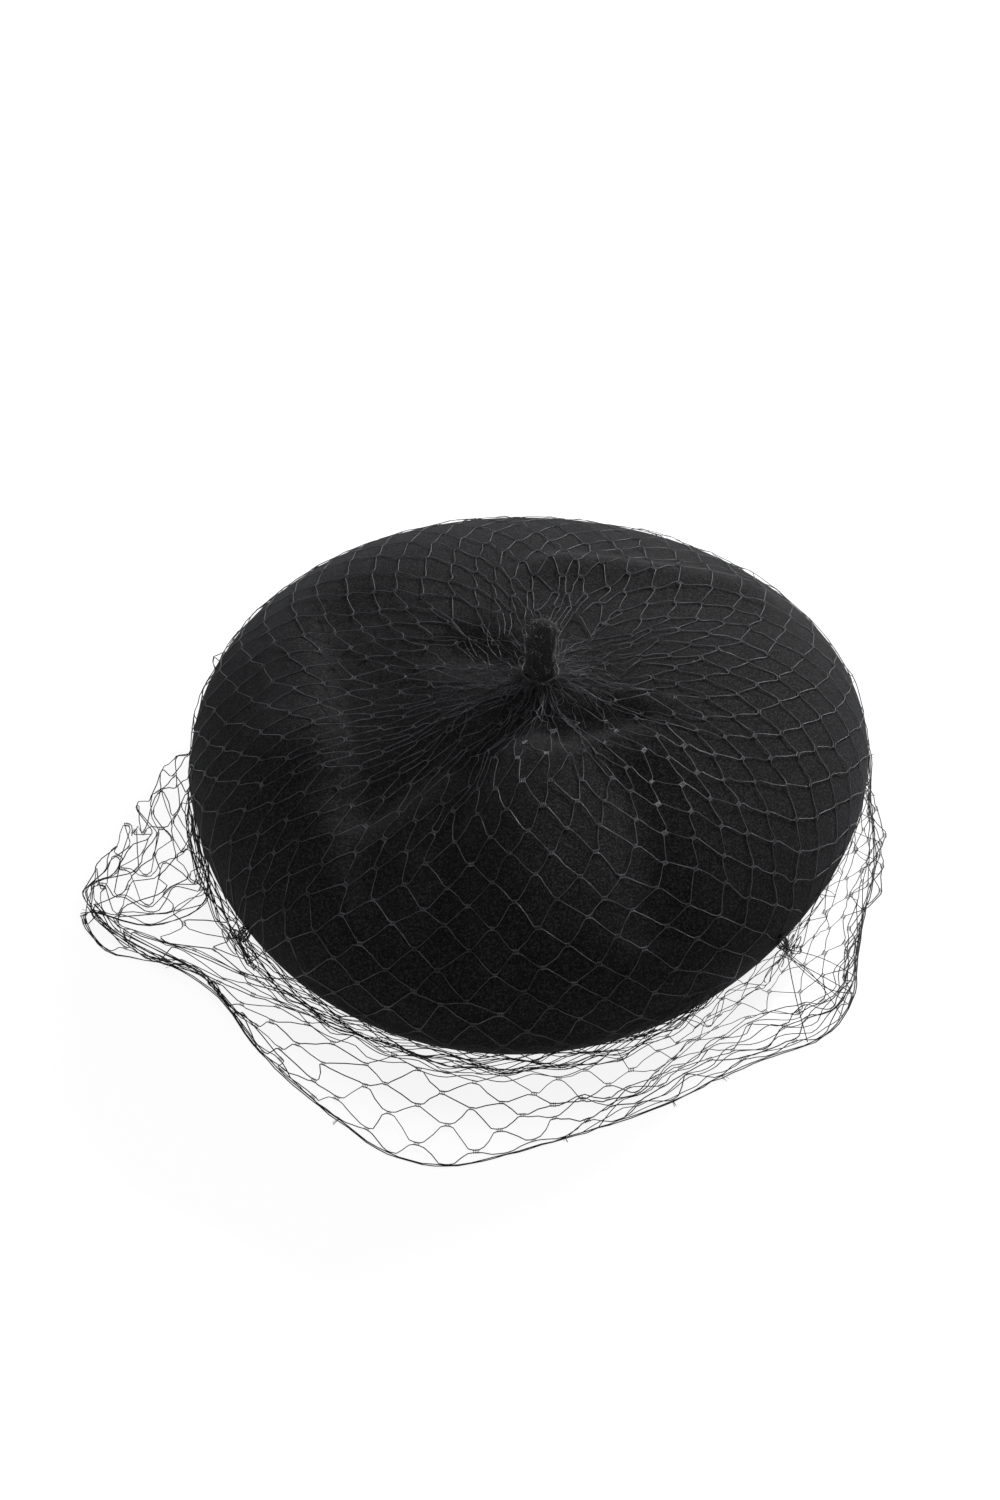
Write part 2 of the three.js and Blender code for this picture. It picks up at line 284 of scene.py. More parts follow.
def capped(rings, rise=0):
    """Points and faces of a closed skin over rings that run down, out and in again."""
    around = len(rings[0])
    poles = np.array([rings[0].mean(0) + (0, 0, rise), rings[-1].mean(0)])
    faces = ring_faces(len(rings), around, first=2)
    last = 2 + (len(rings) - 1) * around
    faces += [(0, 2 + i, 2 + (i + 1) % around) for i in range(around)]
    faces += [(1, last + (i + 1) % around, last + i) for i in range(around)]
    return np.concatenate([poles, *rings]), faces


# The outside, the mouth's rounded edge, and the inside up to the top again.
lip = FELT / 2
rings = [felt_ring(crown, share) for share in np.linspace(0.012, 1, 84)]
rings += [felt_ring(under, share) for share in np.linspace(0.04, 1, 26)]
for bend in np.linspace(-90, -270, 9):
    out = MOUTH_RADIUS + lip + lip * math.cos(math.radians(bend))
    rings.append(polar(turns, out, lip - RIM_HEIGHT + lip * math.sin(math.radians(bend))))
rings += [felt_ring(under, share, FELT) for share in np.linspace(0.93, 0.05, 20)]
rings += [felt_ring(crown, share, FELT) for share in np.linspace(1, 0.03, 50)]
felt = piece("felt_shell", *capped(rings), felt_finish)
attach(felt, "beret")
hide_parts("felt_body")


# ---- Stalk ----------------------------------------------------------------------------------
# The nub on top, where the knitting was cast off: a stub of the same felt, rounded and hairy,
# standing a little out of true.
STALK_RADIUS = 5.6
STALK_HEIGHT = 27
STALK_LEAN = (1.6, 2.2)
STALK_FLARE = 2.6
STALK_AROUND = 56
top_height = float(crown(np.zeros(1), np.zeros(1))[1][0])


def new_growth(name, **sockets):
    """An empty Geometry Nodes tree, its named inputs, and its output socket."""
    tree = bpy.data.node_groups.new(name, "GeometryNodeTree")
    tree.interface.new_socket("Geometry", in_out="INPUT", socket_type="NodeSocketGeometry")
    for label, kind in sockets.items():
        tree.interface.new_socket(label, in_out="INPUT", socket_type="NodeSocket" + kind)
    tree.interface.new_socket("Geometry", in_out="OUTPUT", socket_type="NodeSocketGeometry")
    given = add(tree, "NodeGroupInput").outputs
    return tree, given, add(tree, "NodeGroupOutput").inputs[0]


def dress(tree, geometry, given, result):
    """Ends a tree: makes its instances real and gives them their material."""
    plain = add(tree, "GeometryNodeRealizeInstances", {"Geometry": geometry})
    dressed = {"Geometry": plain, "Material": given["Material"]}
    add(tree, "GeometryNodeSetMaterial", dressed, to=result)


def grow(base, tree, values):
    """Runs a Geometry Nodes tree on an object, and leaves the object with the plain result."""
    modifier = base.modifiers.new(tree.name, "NODES")
    modifier.node_group = tree
    for item in tree.interface.items_tree:
        if item.in_out == "INPUT" and item.name in values:
            modifier[item.identifier] = values[item.name]
    evaluated = base.evaluated_get(bpy.context.evaluated_depsgraph_get())
    mesh = bpy.data.meshes.new_from_object(evaluated)
    base.modifiers.remove(modifier)
    base.data = mesh


def stalk_ring(up, out):
    wander = 0.35 * np.sin(3 * stalk_turns + 0.3 * up) + 0.25 * np.sin(5 * stalk_turns - 0.5 * up)
    lean = (up / STALK_HEIGHT) ** 2
    ring = polar(stalk_turns, out + wander * min(out / STALK_RADIUS, 1), top_height + up)
    return ring + np.array([STALK_LEAN[0] * lean, STALK_LEAN[1] * lean, 0])


stalk_turns = full_circle(STALK_AROUND)
round_top = STALK_HEIGHT - STALK_RADIUS
rings = []
for angle in np.linspace(87, 0, 12):
    a = math.radians(angle)
    rings.append(stalk_ring(round_top + STALK_RADIUS * math.sin(a), STALK_RADIUS * math.cos(a)))
for up in np.linspace(round_top - 1, -0.4, 22):
    flare = STALK_FLARE * math.exp(-max(up, 0) / 2.2)
    rings.append(stalk_ring(up, STALK_RADIUS + flare + 0.35 * math.sin(up * 0.8)))
rings += [stalk_ring(-0.6, share * STALK_RADIUS) for share in (1.2, 0.6)]

# The same felt, made paler and a little browner: the paleness is painted light, lifting the upright
# stalk that the lamps from above leave dark.
stalk_painted_light_finish = felt_finish.copy()
stalk_painted_light_finish.name = "wool felt lightened by painted light"
tree = stalk_painted_light_finish.node_tree
painted_fill = {"Fac": 1, "Color1": tree.nodes[felt_tone.name], "Color2": colour("#1b1a19")}
shader = tree.nodes["Principled BSDF"]
add(tree, "ShaderNodeMixRGB", painted_fill, to=shader.inputs["Base Color"], blend_type="ADD")
stalk = piece("stalk_nub", *capped(rings, 0.1), stalk_painted_light_finish)
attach(stalk, "beret")
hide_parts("stalk")

# Loose fibres standing out of the felt, drawn twice as thick as wool so that they show.
FIBRES_ON_STALK = 260
tree, given, result = new_growth(
    "loose fibres", Fibres="Float", Length="Float", Thickness="Float", Material="Material"
)
points = add(
    tree,
    "GeometryNodeDistributePointsOnFaces",
    {"Mesh": given["Geometry"], "Density": given["Fibres"], "Seed": 5},
)
end = add(tree, "ShaderNodeCombineXYZ", {"Z": given["Length"]})
middle = add(tree, "ShaderNodeVectorMath", {0: end, 1: (0.55, 0.0, 0.75)}, operation="MULTIPLY")
sideways = add(tree, "ShaderNodeCombineXYZ", {"X": given["Length"]})
bend = add(tree, "ShaderNodeVectorMath", {0: sideways, 1: (0.5, 0, 0)}, operation="MULTIPLY")
tip = add(tree, "ShaderNodeVectorMath", {0: end, 1: bend}, operation="ADD")
arc = {"Resolution": 4, "Start": (0, 0, 0), "Middle": middle, "End": tip}
arc = add(tree, "GeometryNodeCurveQuadraticBezier", arc)
section = {"Resolution": 3, "Radius": given["Thickness"]}
section = add(tree, "GeometryNodeCurvePrimitiveCircle", section)
fibre = {"Curve": arc, "Profile Curve": section, "Fill Caps": True}
fibre = add(tree, "GeometryNodeCurveToMesh", fibre)
spin = {0: (-0.9, -0.9, -3.1), 1: (0.9, 0.9, 3.1), "Seed": 3}
spin = add(tree, "FunctionNodeRandomValue", spin, data_type="FLOAT_VECTOR")
spin = add(tree, "FunctionNodeEulerToRotation", {"Euler": spin})
turned = {"Rotation": points.outputs["Rotation"], "Rotate By": spin}
turned = add(tree, "FunctionNodeRotateRotation", turned, rotation_space="LOCAL")
size = add(tree, "FunctionNodeRandomValue", {2: 0.4, 3: 1.3, "Seed": 8}, data_type="FLOAT")
spread = {"Points": points, "Instance": fibre, "Rotation": turned, "Scale": size.outputs[1]}
dress(tree, add(tree, "GeometryNodeInstanceOnPoints", spread), given, result)
fibres_tree = tree

# A single wool fibre, coloured far paler and greyer than the mass of the same felt: painted light,
# for the light that passes through the fibres and brightens the stalk.
fibre_finish, tree, shader = new_finish(
    "loose wool fibre", roughness=0.9, specular_ior_level=0.2, sheen_weight=0.3
)
shade = {"Fac": add(tree, "ShaderNodeTexNoise", {"Scale": 300, "Detail": 1})}
stops = ((0, "#4a4845"), (1, "#84817b"))
add(tree, "ShaderNodeValToRGB", shade, to=shader.inputs["Base Color"], stops=stops)

stalk_skin = sum(p.area for p in stalk.data.polygons)
fuzz = bpy.data.objects.new("stalk_fuzz", stalk.data.copy())
bpy.context.scene.collection.objects.link(fuzz)
grow(
    fuzz,
    fibres_tree,
    {
        "Fibres": FIBRES_ON_STALK / stalk_skin,
        "Length": 0.0016,
        "Thickness": 0.00006,
        "Material": fibre_finish,
    },
)
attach(fuzz, "beret")


# ---- Sweatband ------------------------------------------------------------------------------
# A strip of grained leather stood up inside the mouth, its ends butted at the back and hidden
# by the bow. It is sewn to the turned-under edge along its foot.
BAND_OUTER = 91.5
BAND_THICKNESS = 1
BAND_FOOT = 0.8
BAND_HEIGHT = 27
BAND_AROUND = 240

band_finish, tree, shader = new_finish(
    "black grained sheepskin", specular_ior_level=0.45, coat_weight=0.0
)
# Grained sheepskin: pebbles under a millimetre across, satin on their tops, duller between.
spot = add(tree, "ShaderNodeTexCoord").outputs["Object"]
pebble = add(
    tree,
    "ShaderNodeTexVoronoi",
    {"Vector": spot, "Scale": 1000 / 0.9, "Randomness": 0.9},
    feature="DISTANCE_TO_EDGE",
)
crease = add(tree, "ShaderNodeTexNoise", {"Vector": spot, "Scale": 1000 / 9, "Detail": 3})
stops = ((0, "#131214"), (1, "#262428"))
add(tree, "ShaderNodeValToRGB", {"Fac": crease}, to=shader.inputs["Base Color"], stops=stops)
pebble = pebble.outputs["Distance"]
gloss = {"Value": pebble, "From Max": 0.3, "To Min": 0.7, "To Max": 0.42}
add(tree, "ShaderNodeMapRange", gloss, to=shader.inputs["Roughness"])
bump = {"Height": pebble, "Distance": 0.0003, "Strength": 0.5}
add(tree, "ShaderNodeBump", bump, to=shader.inputs["Normal"])

band_turns = full_circle(BAND_AROUND)
half = BAND_THICKNESS / 2
middle = BAND_OUTER - half
low = BAND_FOOT - RIM_HEIGHT
up = np.linspace(half, BAND_HEIGHT - half, 12)


def bead(height, first, last):
    """The rounded edge of the band's section, between two angles."""
    angles = np.radians(np.linspace(first, last, 6))
    return [(middle + half * math.cos(a), low + height + half * math.sin(a)) for a in angles]


outline = [(middle + half, low + s) for s in up[::-1]] + bead(half, -20, -160)
outline += [(middle - half, low + s) for s in up] + bead(BAND_HEIGHT - half, 160, 20)
rings = []
for radius, height in outline:
    high = (height - low) / BAND_HEIGHT
    sway = 0.3 * high * np.sin(5 * band_turns + 1) + 0.15 * high * np.sin(13 * band_turns)
    rings.append(polar(band_turns, radius + np.minimum(sway, 0.1), height))
sweatband = piece(
    "leather_sweatband",
    np.concatenate(rings),
    ring_faces(len(rings), BAND_AROUND, closed=True),
    band_finish,
)
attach(sweatband, "beret")
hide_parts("sweatband")


# ---- Sweatband stitching --------------------------------------------------------------------
# One row of lockstitch through the band's foot and the felt's turned-under edge, in black
# polyester thread: stitches 2.6 mm long, each dipping into the leather at both ends.
STITCH_RISE = 3
STITCH_PITCH = 3
STITCH_LENGTH = 2.6
THREAD = 0.45

# Spun polyester: a soft two-ply thread with a slight shine along its twist.
thread_finish, tree, shader = new_finish(
    "black polyester sewing thread", roughness=0.55, specular_ior_level=0.4
)
spot = add(tree, "ShaderNodeTexCoord").outputs["Object"]
ply = add(
    tree,
    "ShaderNodeTexWave",
    {"Vector": spot, "Scale": 1000 / 6, "Distortion": 4, "Detail": 1},
    bands_direction="DIAGONAL",
)


def tinted(tree, shader, pattern, low, high, depth, strength):
    """Lets a pattern set a finish's colour, between two, and its relief, in metres."""
    stops = ((0, low), (1, high))
    add(tree, "ShaderNodeValToRGB", {"Fac": pattern}, to=shader.inputs["Base Color"], stops=stops)
    relief = {"Height": pattern, "Distance": depth, "Strength": strength}
    add(tree, "ShaderNodeBump", relief, to=shader.inputs["Normal"])


tinted(tree, shader, ply, "#141416", "#2c2c30", 0.0001, 0.4)

tree, given, result = new_growth(
    "lockstitches", Length="Float", Thickness="Float", Material="Material"
)
reach = add(tree, "ShaderNodeCombineXYZ", {"Y": given["Length"]})
start = add(tree, "ShaderNodeVectorMath", {0: reach, 1: (0, -0.5, 0)}, operation="MULTIPLY")
end = add(tree, "ShaderNodeVectorMath", {0: reach, 1: (0, 0.5, 0)}, operation="MULTIPLY")
proud = add(tree, "ShaderNodeCombineXYZ", {"X": given["Thickness"]})
arc = {"Resolution": 5, "Start": start, "Middle": proud, "End": end}
arc = add(tree, "GeometryNodeCurveQuadraticBezier", arc)
narrow = add(tree, "ShaderNodeMath", {0: given["Thickness"], 1: 0.5}, operation="MULTIPLY")
section = add(tree, "GeometryNodeCurvePrimitiveCircle", {"Resolution": 6, "Radius": narrow})
stitch = {"Curve": arc, "Profile Curve": section, "Fill Caps": True}
stitch = add(tree, "GeometryNodeCurveToMesh", stitch)
inward = add(tree, "GeometryNodeInputNamedAttribute", {"Name": "inward"}, data_type="FLOAT_VECTOR")
rotation = add(
    tree,
    "FunctionNodeAxesToRotation",
    {"Primary Axis": inward, "Secondary Axis": (0, 0, 1)},
    primary_axis="X",
    secondary_axis="Z",
)
spread = {"Points": given["Geometry"], "Instance": stitch, "Rotation": rotation}
dress(tree, add(tree, "GeometryNodeInstanceOnPoints", spread), given, result)

sewn_radius = BAND_OUTER - BAND_THICKNESS - THREAD * 0.4
sewn_turns = full_circle(round(2 * math.pi * sewn_radius / STITCH_PITCH))
sewn_points = polar(sewn_turns, sewn_radius, low + STITCH_RISE)
stitching = piece("sweatband_lockstitch", sewn_points, [], None)
attribute = stitching.data.attributes.new("inward", "FLOAT_VECTOR", "POINT")
attribute.data.foreach_set("vector", polar(sewn_turns, -1.0, 0.0).ravel())
grow(
    stitching,
    tree,
    {"Length": STITCH_LENGTH / 1000, "Thickness": THREAD / 1000, "Material": thread_finish},
)
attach(stitching, "beret")
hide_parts("sweatband_stitching")


# ---- Bow ------------------------------------------------------------------------------------
# A flat bow of 7 mm ribbed ribbon at the back of the band, over the joint of its ends: two
# loops, a knot wrapped round their middle, and two tails cut on the slant.
RIBBON = 7
RIBBON_THICKNESS = 0.45
BOW_OFF_BAND = 0.4
band_inner = BAND_OUTER - BAND_THICKNESS
bow_low, bow_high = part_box("bow_knot")
bow_height = ((bow_low.z + bow_high.z) / 2 - axis_point[2]) * 1000

# A wave texture at scale 1 repeats this many times in each unit of length.
WAVE_UNIT = 3.18

# Grosgrain: a fine warp over thick weft, which stands across the ribbon in ribs 0.6 mm apart.
ribbon_finish, tree, shader = new_finish(
    "black grosgrain ribbon", roughness=0.6, specular_ior_level=0.4, sheen_weight=0.15
)
spot = add(tree, "ShaderNodeUVMap", uv_map="along")
ribs = add(
    tree,
    "ShaderNodeTexWave",
    {"Vector": spot, "Scale": 1 / 0.6 / WAVE_UNIT, "Distortion": 0.3},
    bands_direction="X",
)
tinted(tree, shader, ribs, "#101012", "#26262b", 0.0002, 0.6)


def spline(points, closed=False, steps=24):
    """A Catmull-Rom curve through the points, as a polyline."""
    p = np.asarray(points, float)
    p = np.concatenate([p[-1:], p, p[:2]] if closed else [p[:1], p, p[-1:]])
    t = np.linspace(0, 1, steps, endpoint=False)[:, None]
    parts = []
    for a, b, c, d in zip(p, p[1:], p[2:], p[3:]):
        bend = (2 * a - 5 * b + 4 * c - d) * t**2 + (3 * b - a - 3 * c + d) * t**3
        parts.append(0.5 * (2 * b + (c - a) * t + bend))
    return np.concatenate([*parts, p[-2:-1]])


def lengths(path):
    return np.concatenate([[0], np.cumsum(np.linalg.norm(np.diff(path, axis=0), axis=1))])


def unit(vectors):
    return vectors / (np.linalg.norm(vectors, axis=-1, keepdims=True) + 1e-9)


def strip(name, path, half_width, thickness, finish, closed=False):
    """A flat ribbon along a path: half_width is the vector from its middle to its edge."""
    path, half_width = np.asarray(path, float), np.asarray(half_width, float)
    if closed:
        ahead = np.roll(path, -1, 0) - np.roll(path, 1, 0)
    else:
        ahead = np.gradient(path, axis=0)
    face = unit(np.cross(ahead, half_width))
    across = ((-1, 0), (-0.96, 1), (-0.5, 1), (0, 1), (0.5, 1), (0.96, 1), (1, 0))
    across += ((0.96, -1), (0.5, -1), (0, -1), (-0.5, -1), (-0.96, -1))
    rings = [
        path + half_width * side + face * (level * thickness / 2) for side, level in across
    ]
    points = np.stack(rings, 1).reshape(-1, 3)
    run = lengths(path)
    reach = np.linalg.norm(half_width, axis=1)
    uvs = np.stack([[(r, w * side) for side, _ in across] for r, w in zip(run, reach)])
    count, around = len(path), len(across)
    faces = [face_[::-1] for face_ in ring_faces(count, around, closed=closed)]
    if not closed:
        faces.append(tuple(range(around))[::-1])
        faces.append(tuple((count - 1) * around + i for i in range(around)))
    made = piece(name, points, faces, finish, uvs=uvs.reshape(-1, 2))
    outward(made)
    return made


def outward(made):
    """Turns a closed mesh's faces out."""
    shell = bmesh.new()
    shell.from_mesh(made.data)
    bmesh.ops.recalc_face_normals(shell, faces=shell.faces)
    shell.to_mesh(made.data)
    shell.free()


def on_band(x, z, off):
    """A point on the inside of the band at the back, off it towards the middle."""
    return np.stack([x, np.sqrt(band_inner**2 - x**2) - off, bow_height + z], -1)


upright = np.array([0, 0, 1.0])
for side, way in (("left", -1), ("right", 1)):
    out = spline([(1, 1.9), (7, 3.4), (15, 3.9), (20, 3.1), (22.3, 1.9), (20, 0.8), (14, 0.5),
                  (7, 0.5), (1, 0.9)], steps=6)
    droop = -0.004 * out[:, 0] ** 2
    path = on_band(way * out[:, 0], droop, BOW_OFF_BAND + out[:, 1])
    pinch = 0.5 + 0.5 * smooth(out[:, 0], 2, 11)
    loop = strip(
        f"bow_{side}_loop_ribbon",
        path,
        upright * (RIBBON / 2 * pinch)[:, None],
        RIBBON_THICKNESS,
        ribbon_finish,
    )
    hang = spline([(1.2, -1.5), (2.6, -4.5), (3.6, -9), (4.4, -13.8)], steps=6)
    rise = 1.1 + 0.5 * np.sin(np.linspace(0, 3, len(hang)))
    path = on_band(way * hang[:, 0], hang[:, 1], BOW_OFF_BAND + rise)
    widen = 0.55 + 0.45 * smooth(-hang[:, 1], 1, 7)
    level = np.array([way * 1.0, 0, 0.25])
    slant = np.outer(smooth(-hang[:, 1], 9, 13.8), (0, 0, 0.35))
    tail = strip(
        f"bow_{side}_tail_ribbon",
        path,
        (level + slant) * (RIBBON / 2 * widen)[:, None],
        RIBBON_THICKNESS,
        ribbon_finish,
    )
    for made, node in ((loop, f"bow_{side}_loop"), (tail, f"bow_{side}_tail")):
        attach(made, "beret")
        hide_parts(node)
bends = np.linspace(0, 2 * np.pi, 28, endpoint=False)
wrap = on_band(0 * bends, 3.2 * np.sin(bends), BOW_OFF_BAND + 1.9 + 2.1 * np.cos(bends))
wide = np.array([1.0, 0, 0]) * (2.6 - 0.5 * np.cos(bends) ** 2)[:, None]
knot = strip("bow_knot_wrap", wrap, wide, RIBBON_THICKNESS, ribbon_finish, closed=True)
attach(knot, "beret")
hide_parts("bow_knot")


# ---- Label ----------------------------------------------------------------------------------
# A blank strip of woven tape, 13 mm high, laid on the inside of the band on its -X side, with
# its two ends turned under and sewn down.
LABEL_TURN = math.radians(180)
LABEL_HALF = math.radians(10)
label_low, label_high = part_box("label")
label_middle = ((label_low.z + label_high.z) / 2 - axis_point[2]) * 1000
label_height = (label_high.z - label_low.z) * 1000
label_radius = band_inner - 0.65

# Woven tape: polyester threads over and under at 0.5 mm, flat and a little silky.
label_finish, tree, shader = new_finish(
    "charcoal woven tape", roughness=0.55, specular_ior_level=0.4, sheen_weight=0.1
)
spot = add(tree, "ShaderNodeUVMap", uv_map="along")
thread_waves = {"Vector": spot, "Scale": 1 / 0.5 / WAVE_UNIT}
warp = add(tree, "ShaderNodeTexWave", thread_waves, bands_direction="X")
weft = add(tree, "ShaderNodeTexWave", thread_waves, bands_direction="Y")
weave = add(tree, "ShaderNodeMath", {0: warp, 1: weft}, operation="MULTIPLY")
tinted(tree, shader, weave, "#1a1a1d", "#39393f", 0.0001, 0.5)

arc = LABEL_TURN + np.linspace(-LABEL_HALF, LABEL_HALF, 40)
ends = np.exp(-(((np.abs(arc - LABEL_TURN) - LABEL_HALF) / math.radians(1.2)) ** 2))
path = polar(arc, label_radius - 0.25 * ends, label_middle)
label = strip(
    "woven_label",
    path,
    np.tile(upright * label_height / 2, (len(path), 1)),
    0.5,
    label_finish,
)
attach(label, "beret")
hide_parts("label")


# ---- Veil -----------------------------------------------------------------------------------
# Millinery net of black nylon: threads that zig-zag round the hat and are bound to the next
# one at each corner with a short bar knot, which leaves open diamonds of 13 mm sides. Its top
# edge is gathered round the stalk, it lies on the crown, and its fall reaches the table.
COLUMNS = 44
ROWS = 30
SIDE = 13
SIDE_SPREAD = 0.08
NET_THREAD = 0.45
NET_GAP = 0.5
NET_ON_TABLE = NET_THREAD - RIM_HEIGHT
# How far from the stalk's axis the first row of knots lies, and by what share of its length
# the hem is turned round the hat.
FIRST_ROW = 7
HEM_SHIFT = -0.018

# More of the net is gathered towards the left, where the fall flares out. The flare is held
# in its place between two turns, in degrees.
FLARE_TURN = math.radians(195)
FLARE_WIDTH = math.radians(42)
FLARE_COLUMNS = 0.25
FLARE_HEM = 0.6
FLARE_SKEW = math.radians(14)
FLARE_HELD = (162, 224)

# The hem where it lies on the table as points, and the flare's folded edge: (degrees, radius).
HEM = (
    (140, 14), (142, 45), (132, 82), (104, 108), (58, 132), (0, 143), (-58, 138), (-104, 110),
    (-132, 72), (-141, 36), (-140, 0), (-137, -28), (-138, -50), (-152, -54), (-170, -53),
    (-181, -47), (-188, -51), (-183, -61), (-168, -70), (-152, -75), (-138, -77), (-122, -97),
    (-107, -119), (-82, -144), (-60, -162), (-44, -170), (-24, -168), (8, -158), (46, -143),
    (77, -125), (98, -116), (112, -109), (121, -97), (125, -84), (127, -70), (130, -54),
    (135, -38), (139, -18),
)
FOLDED_EDGE = (
    (150, 146), (160, 151), (168, 158), (173, 162), (179, 168), (184, 173), (187, 178),
    (190, 184), (193, 190), (196, 187), (199, 184), (202.5, 177), (206, 167), (210, 157),
)

# Between these turns, in degrees, and below this height, the hem is the net's outermost line.
FRONT = (201, 345)
FRONT_LOW = -14

# Between these turns the slack of the fall is bunched in small folds just under the rim: each
# pair is where the bunching sets in or fades out.
BUNCHED_FROM = (math.radians(200), math.radians(222))
BUNCHED_TO = (math.radians(285), math.radians(305))

# Where a few stitches catch the net to the felt just under the rim, in degrees, and how low.
TACK_TURNS = (-42, 46, 138, 215)
TACK_DROP = 8


def tack_place(degree):
    turn = math.radians(degree)
    return polar(turn, float(rim_radius(turn)) + 3, -TACK_DROP)


def wrapped(turn):
    return (turn + np.pi) % (2 * np.pi) - np.pi


def turn_of(points):
    return np.arctan2(points[:, 1], points[:, 0])


def reach_of(points):
    return np.hypot(points[:, 0], points[:, 1])


def bunching(turn):
    """How much the fall is bunched under the rim at a turn, from 0 to 1."""
    return smooth(turn, *BUNCHED_FROM) * (1 - smooth(turn, *BUNCHED_TO))


def along(path, run, distance):
    """Points at the given distances along a polyline."""
    return np.stack([np.interp(distance, run, path[:, k]) for k in range(path.shape[1])], -1)


# The felt's meridians, one for each degree, for keeping the net off it.
degrees = np.radians(np.arange(361))[:, None]
outer_shares, under_shares = np.linspace(0, 1, 34)[None], np.linspace(0, 1, 14)[None, 1:]
sections = [np.stack(np.broadcast_arrays(*crown(degrees, outer_shares)), -1)]
sections.append(np.stack(np.broadcast_arrays(*under(degrees, under_shares)), -1))
sections.append(np.full((361, 1, 2), (MOUTH_RADIUS, -RIM_HEIGHT), float))
meridians = np.concatenate(sections, 1)


def off_the_felt(points, gap):
    """Points moved out to the gap from the felt, which ones touched it, and which way is out."""
    turn = turn_of(points)
    spot = np.stack([reach_of(points), points[:, 2]], -1)[:, None]
    degree = np.degrees(turn) % 360
    below = np.minimum(degree.astype(int), 359)
    part = (degree - below)[:, None, None]
    section = meridians[below] * (1 - part) + meridians[below + 1] * part
    start = section[:, :-1]
    leg = section[:, 1:] - start
    share = np.clip(((spot - start) * leg).sum(-1) / ((leg * leg).sum(-1) + 1e-9), 0, 1)
    away = spot - start - leg * share[..., None]
    distance = np.hypot(away[..., 0], away[..., 1])
    nearest = distance.argmin(1)
    rows = np.arange(len(points))
    leg, away, distance = leg[rows, nearest], away[rows, nearest], distance[rows, nearest]
    outward = unit(np.stack([-leg[:, 1], leg[:, 0]], -1))
    inside = (away * outward).sum(1) < 0
    way = np.where(inside[:, None], -unit(away), unit(away))
    way = np.where((distance < 1e-3)[:, None], outward, way)
    push = np.maximum(0, gap - np.where(inside, -distance, distance))
    out = np.stack([way[:, 0] * np.cos(turn), way[:, 0] * np.sin(turn), way[:, 1]], -1)
    return points + out * push[:, None], push > 0, out


fine_turns = np.linspace(0, 2 * np.pi, 1441)


def shared_out(extra):
    """How much of a length, from 0 to 1, is used up at each fine turn, with more at the flare."""
    weight = 1 + extra * np.exp(-((wrapped(fine_turns - FLARE_TURN) / FLARE_WIDTH) ** 2))
    used = np.concatenate([[0], np.cumsum((weight[1:] + weight[:-1]) / 2)])
    return used / used[-1]


fine_columns = COLUMNS * shared_out(FLARE_COLUMNS)
fine_hem = shared_out(FLARE_HEM)
hem_path = spline(HEM, closed=True)
hem_run = lengths(hem_path)


def net_line(column):
    """One line of the net from the stalk to the hem, and where along it the rim is."""
    turn = float(np.interp(column % COLUMNS, fine_columns, fine_turns))
    hem_share = float(np.interp(turn, fine_turns, fine_hem)) + HEM_SHIFT
    hem = along(hem_path, hem_run, hem_share % 1 * hem_run[-1])
    hem_turn = float(wrapped(turn_of(hem[None])[0] - turn))
    reach = float(np.hypot(*hem))
    rim = float(rim_radius(turn))
    folded = np.interp(math.degrees(turn - FLARE_SKEW), *zip(*FOLDED_EDGE), left=0, right=0)
    skew = -FLARE_SKEW / hem_turn if abs(hem_turn) > 1e-6 else 0
    # Down the fall: the radius, the height, and the share of the way round to the hem's turn.
    if folded:
        controls = [
            (rim + NET_GAP, 0, 0), (rim + 2, -4, 0.1 * skew), (rim + 3, -9, 0.3 * skew),
            ((rim + folded) / 2, -16, 0.7 * skew), (folded, -20, skew), (folded, -27, skew),
            ((folded + reach) / 2, NET_ON_TABLE + 0.5, (1 + skew) / 2), (reach, NET_ON_TABLE, 1),
        ]
    else:
        front = float(bunching(turn))
        controls = [
            (rim + NET_GAP, 0, 0), (rim + 1 + 6 * front, -4 + 1.5 * front, 0.02),
            (rim + 1, -8 + 2.5 * front, 0.04), (rim - 2 + 10 * front, -13 + 6.5 * front, 0.1),
            (rim - 1 + 3 * front, -17 + 6 * front, 0.15),
            (rim + 4 + 8 * front, -23 + 4 * front, 0.4),
            (rim + max(reach - rim, 4) * (0.5 + 0.2 * front), -27, 0.7), (reach, NET_ON_TABLE, 1),
        ]
    radius, height, share = spline(controls, steps=24).T
    shares = np.linspace(0, 1, 160)
    crown_radius, crown_height = crown(np.full_like(shares, turn), shares)
    on_crown = polar(np.full_like(shares, turn), crown_radius, crown_height + NET_GAP)
    fall = polar(turn + share * hem_turn, radius, height)
    return np.concatenate([on_crown, fall[1:]]), len(shares) - 1


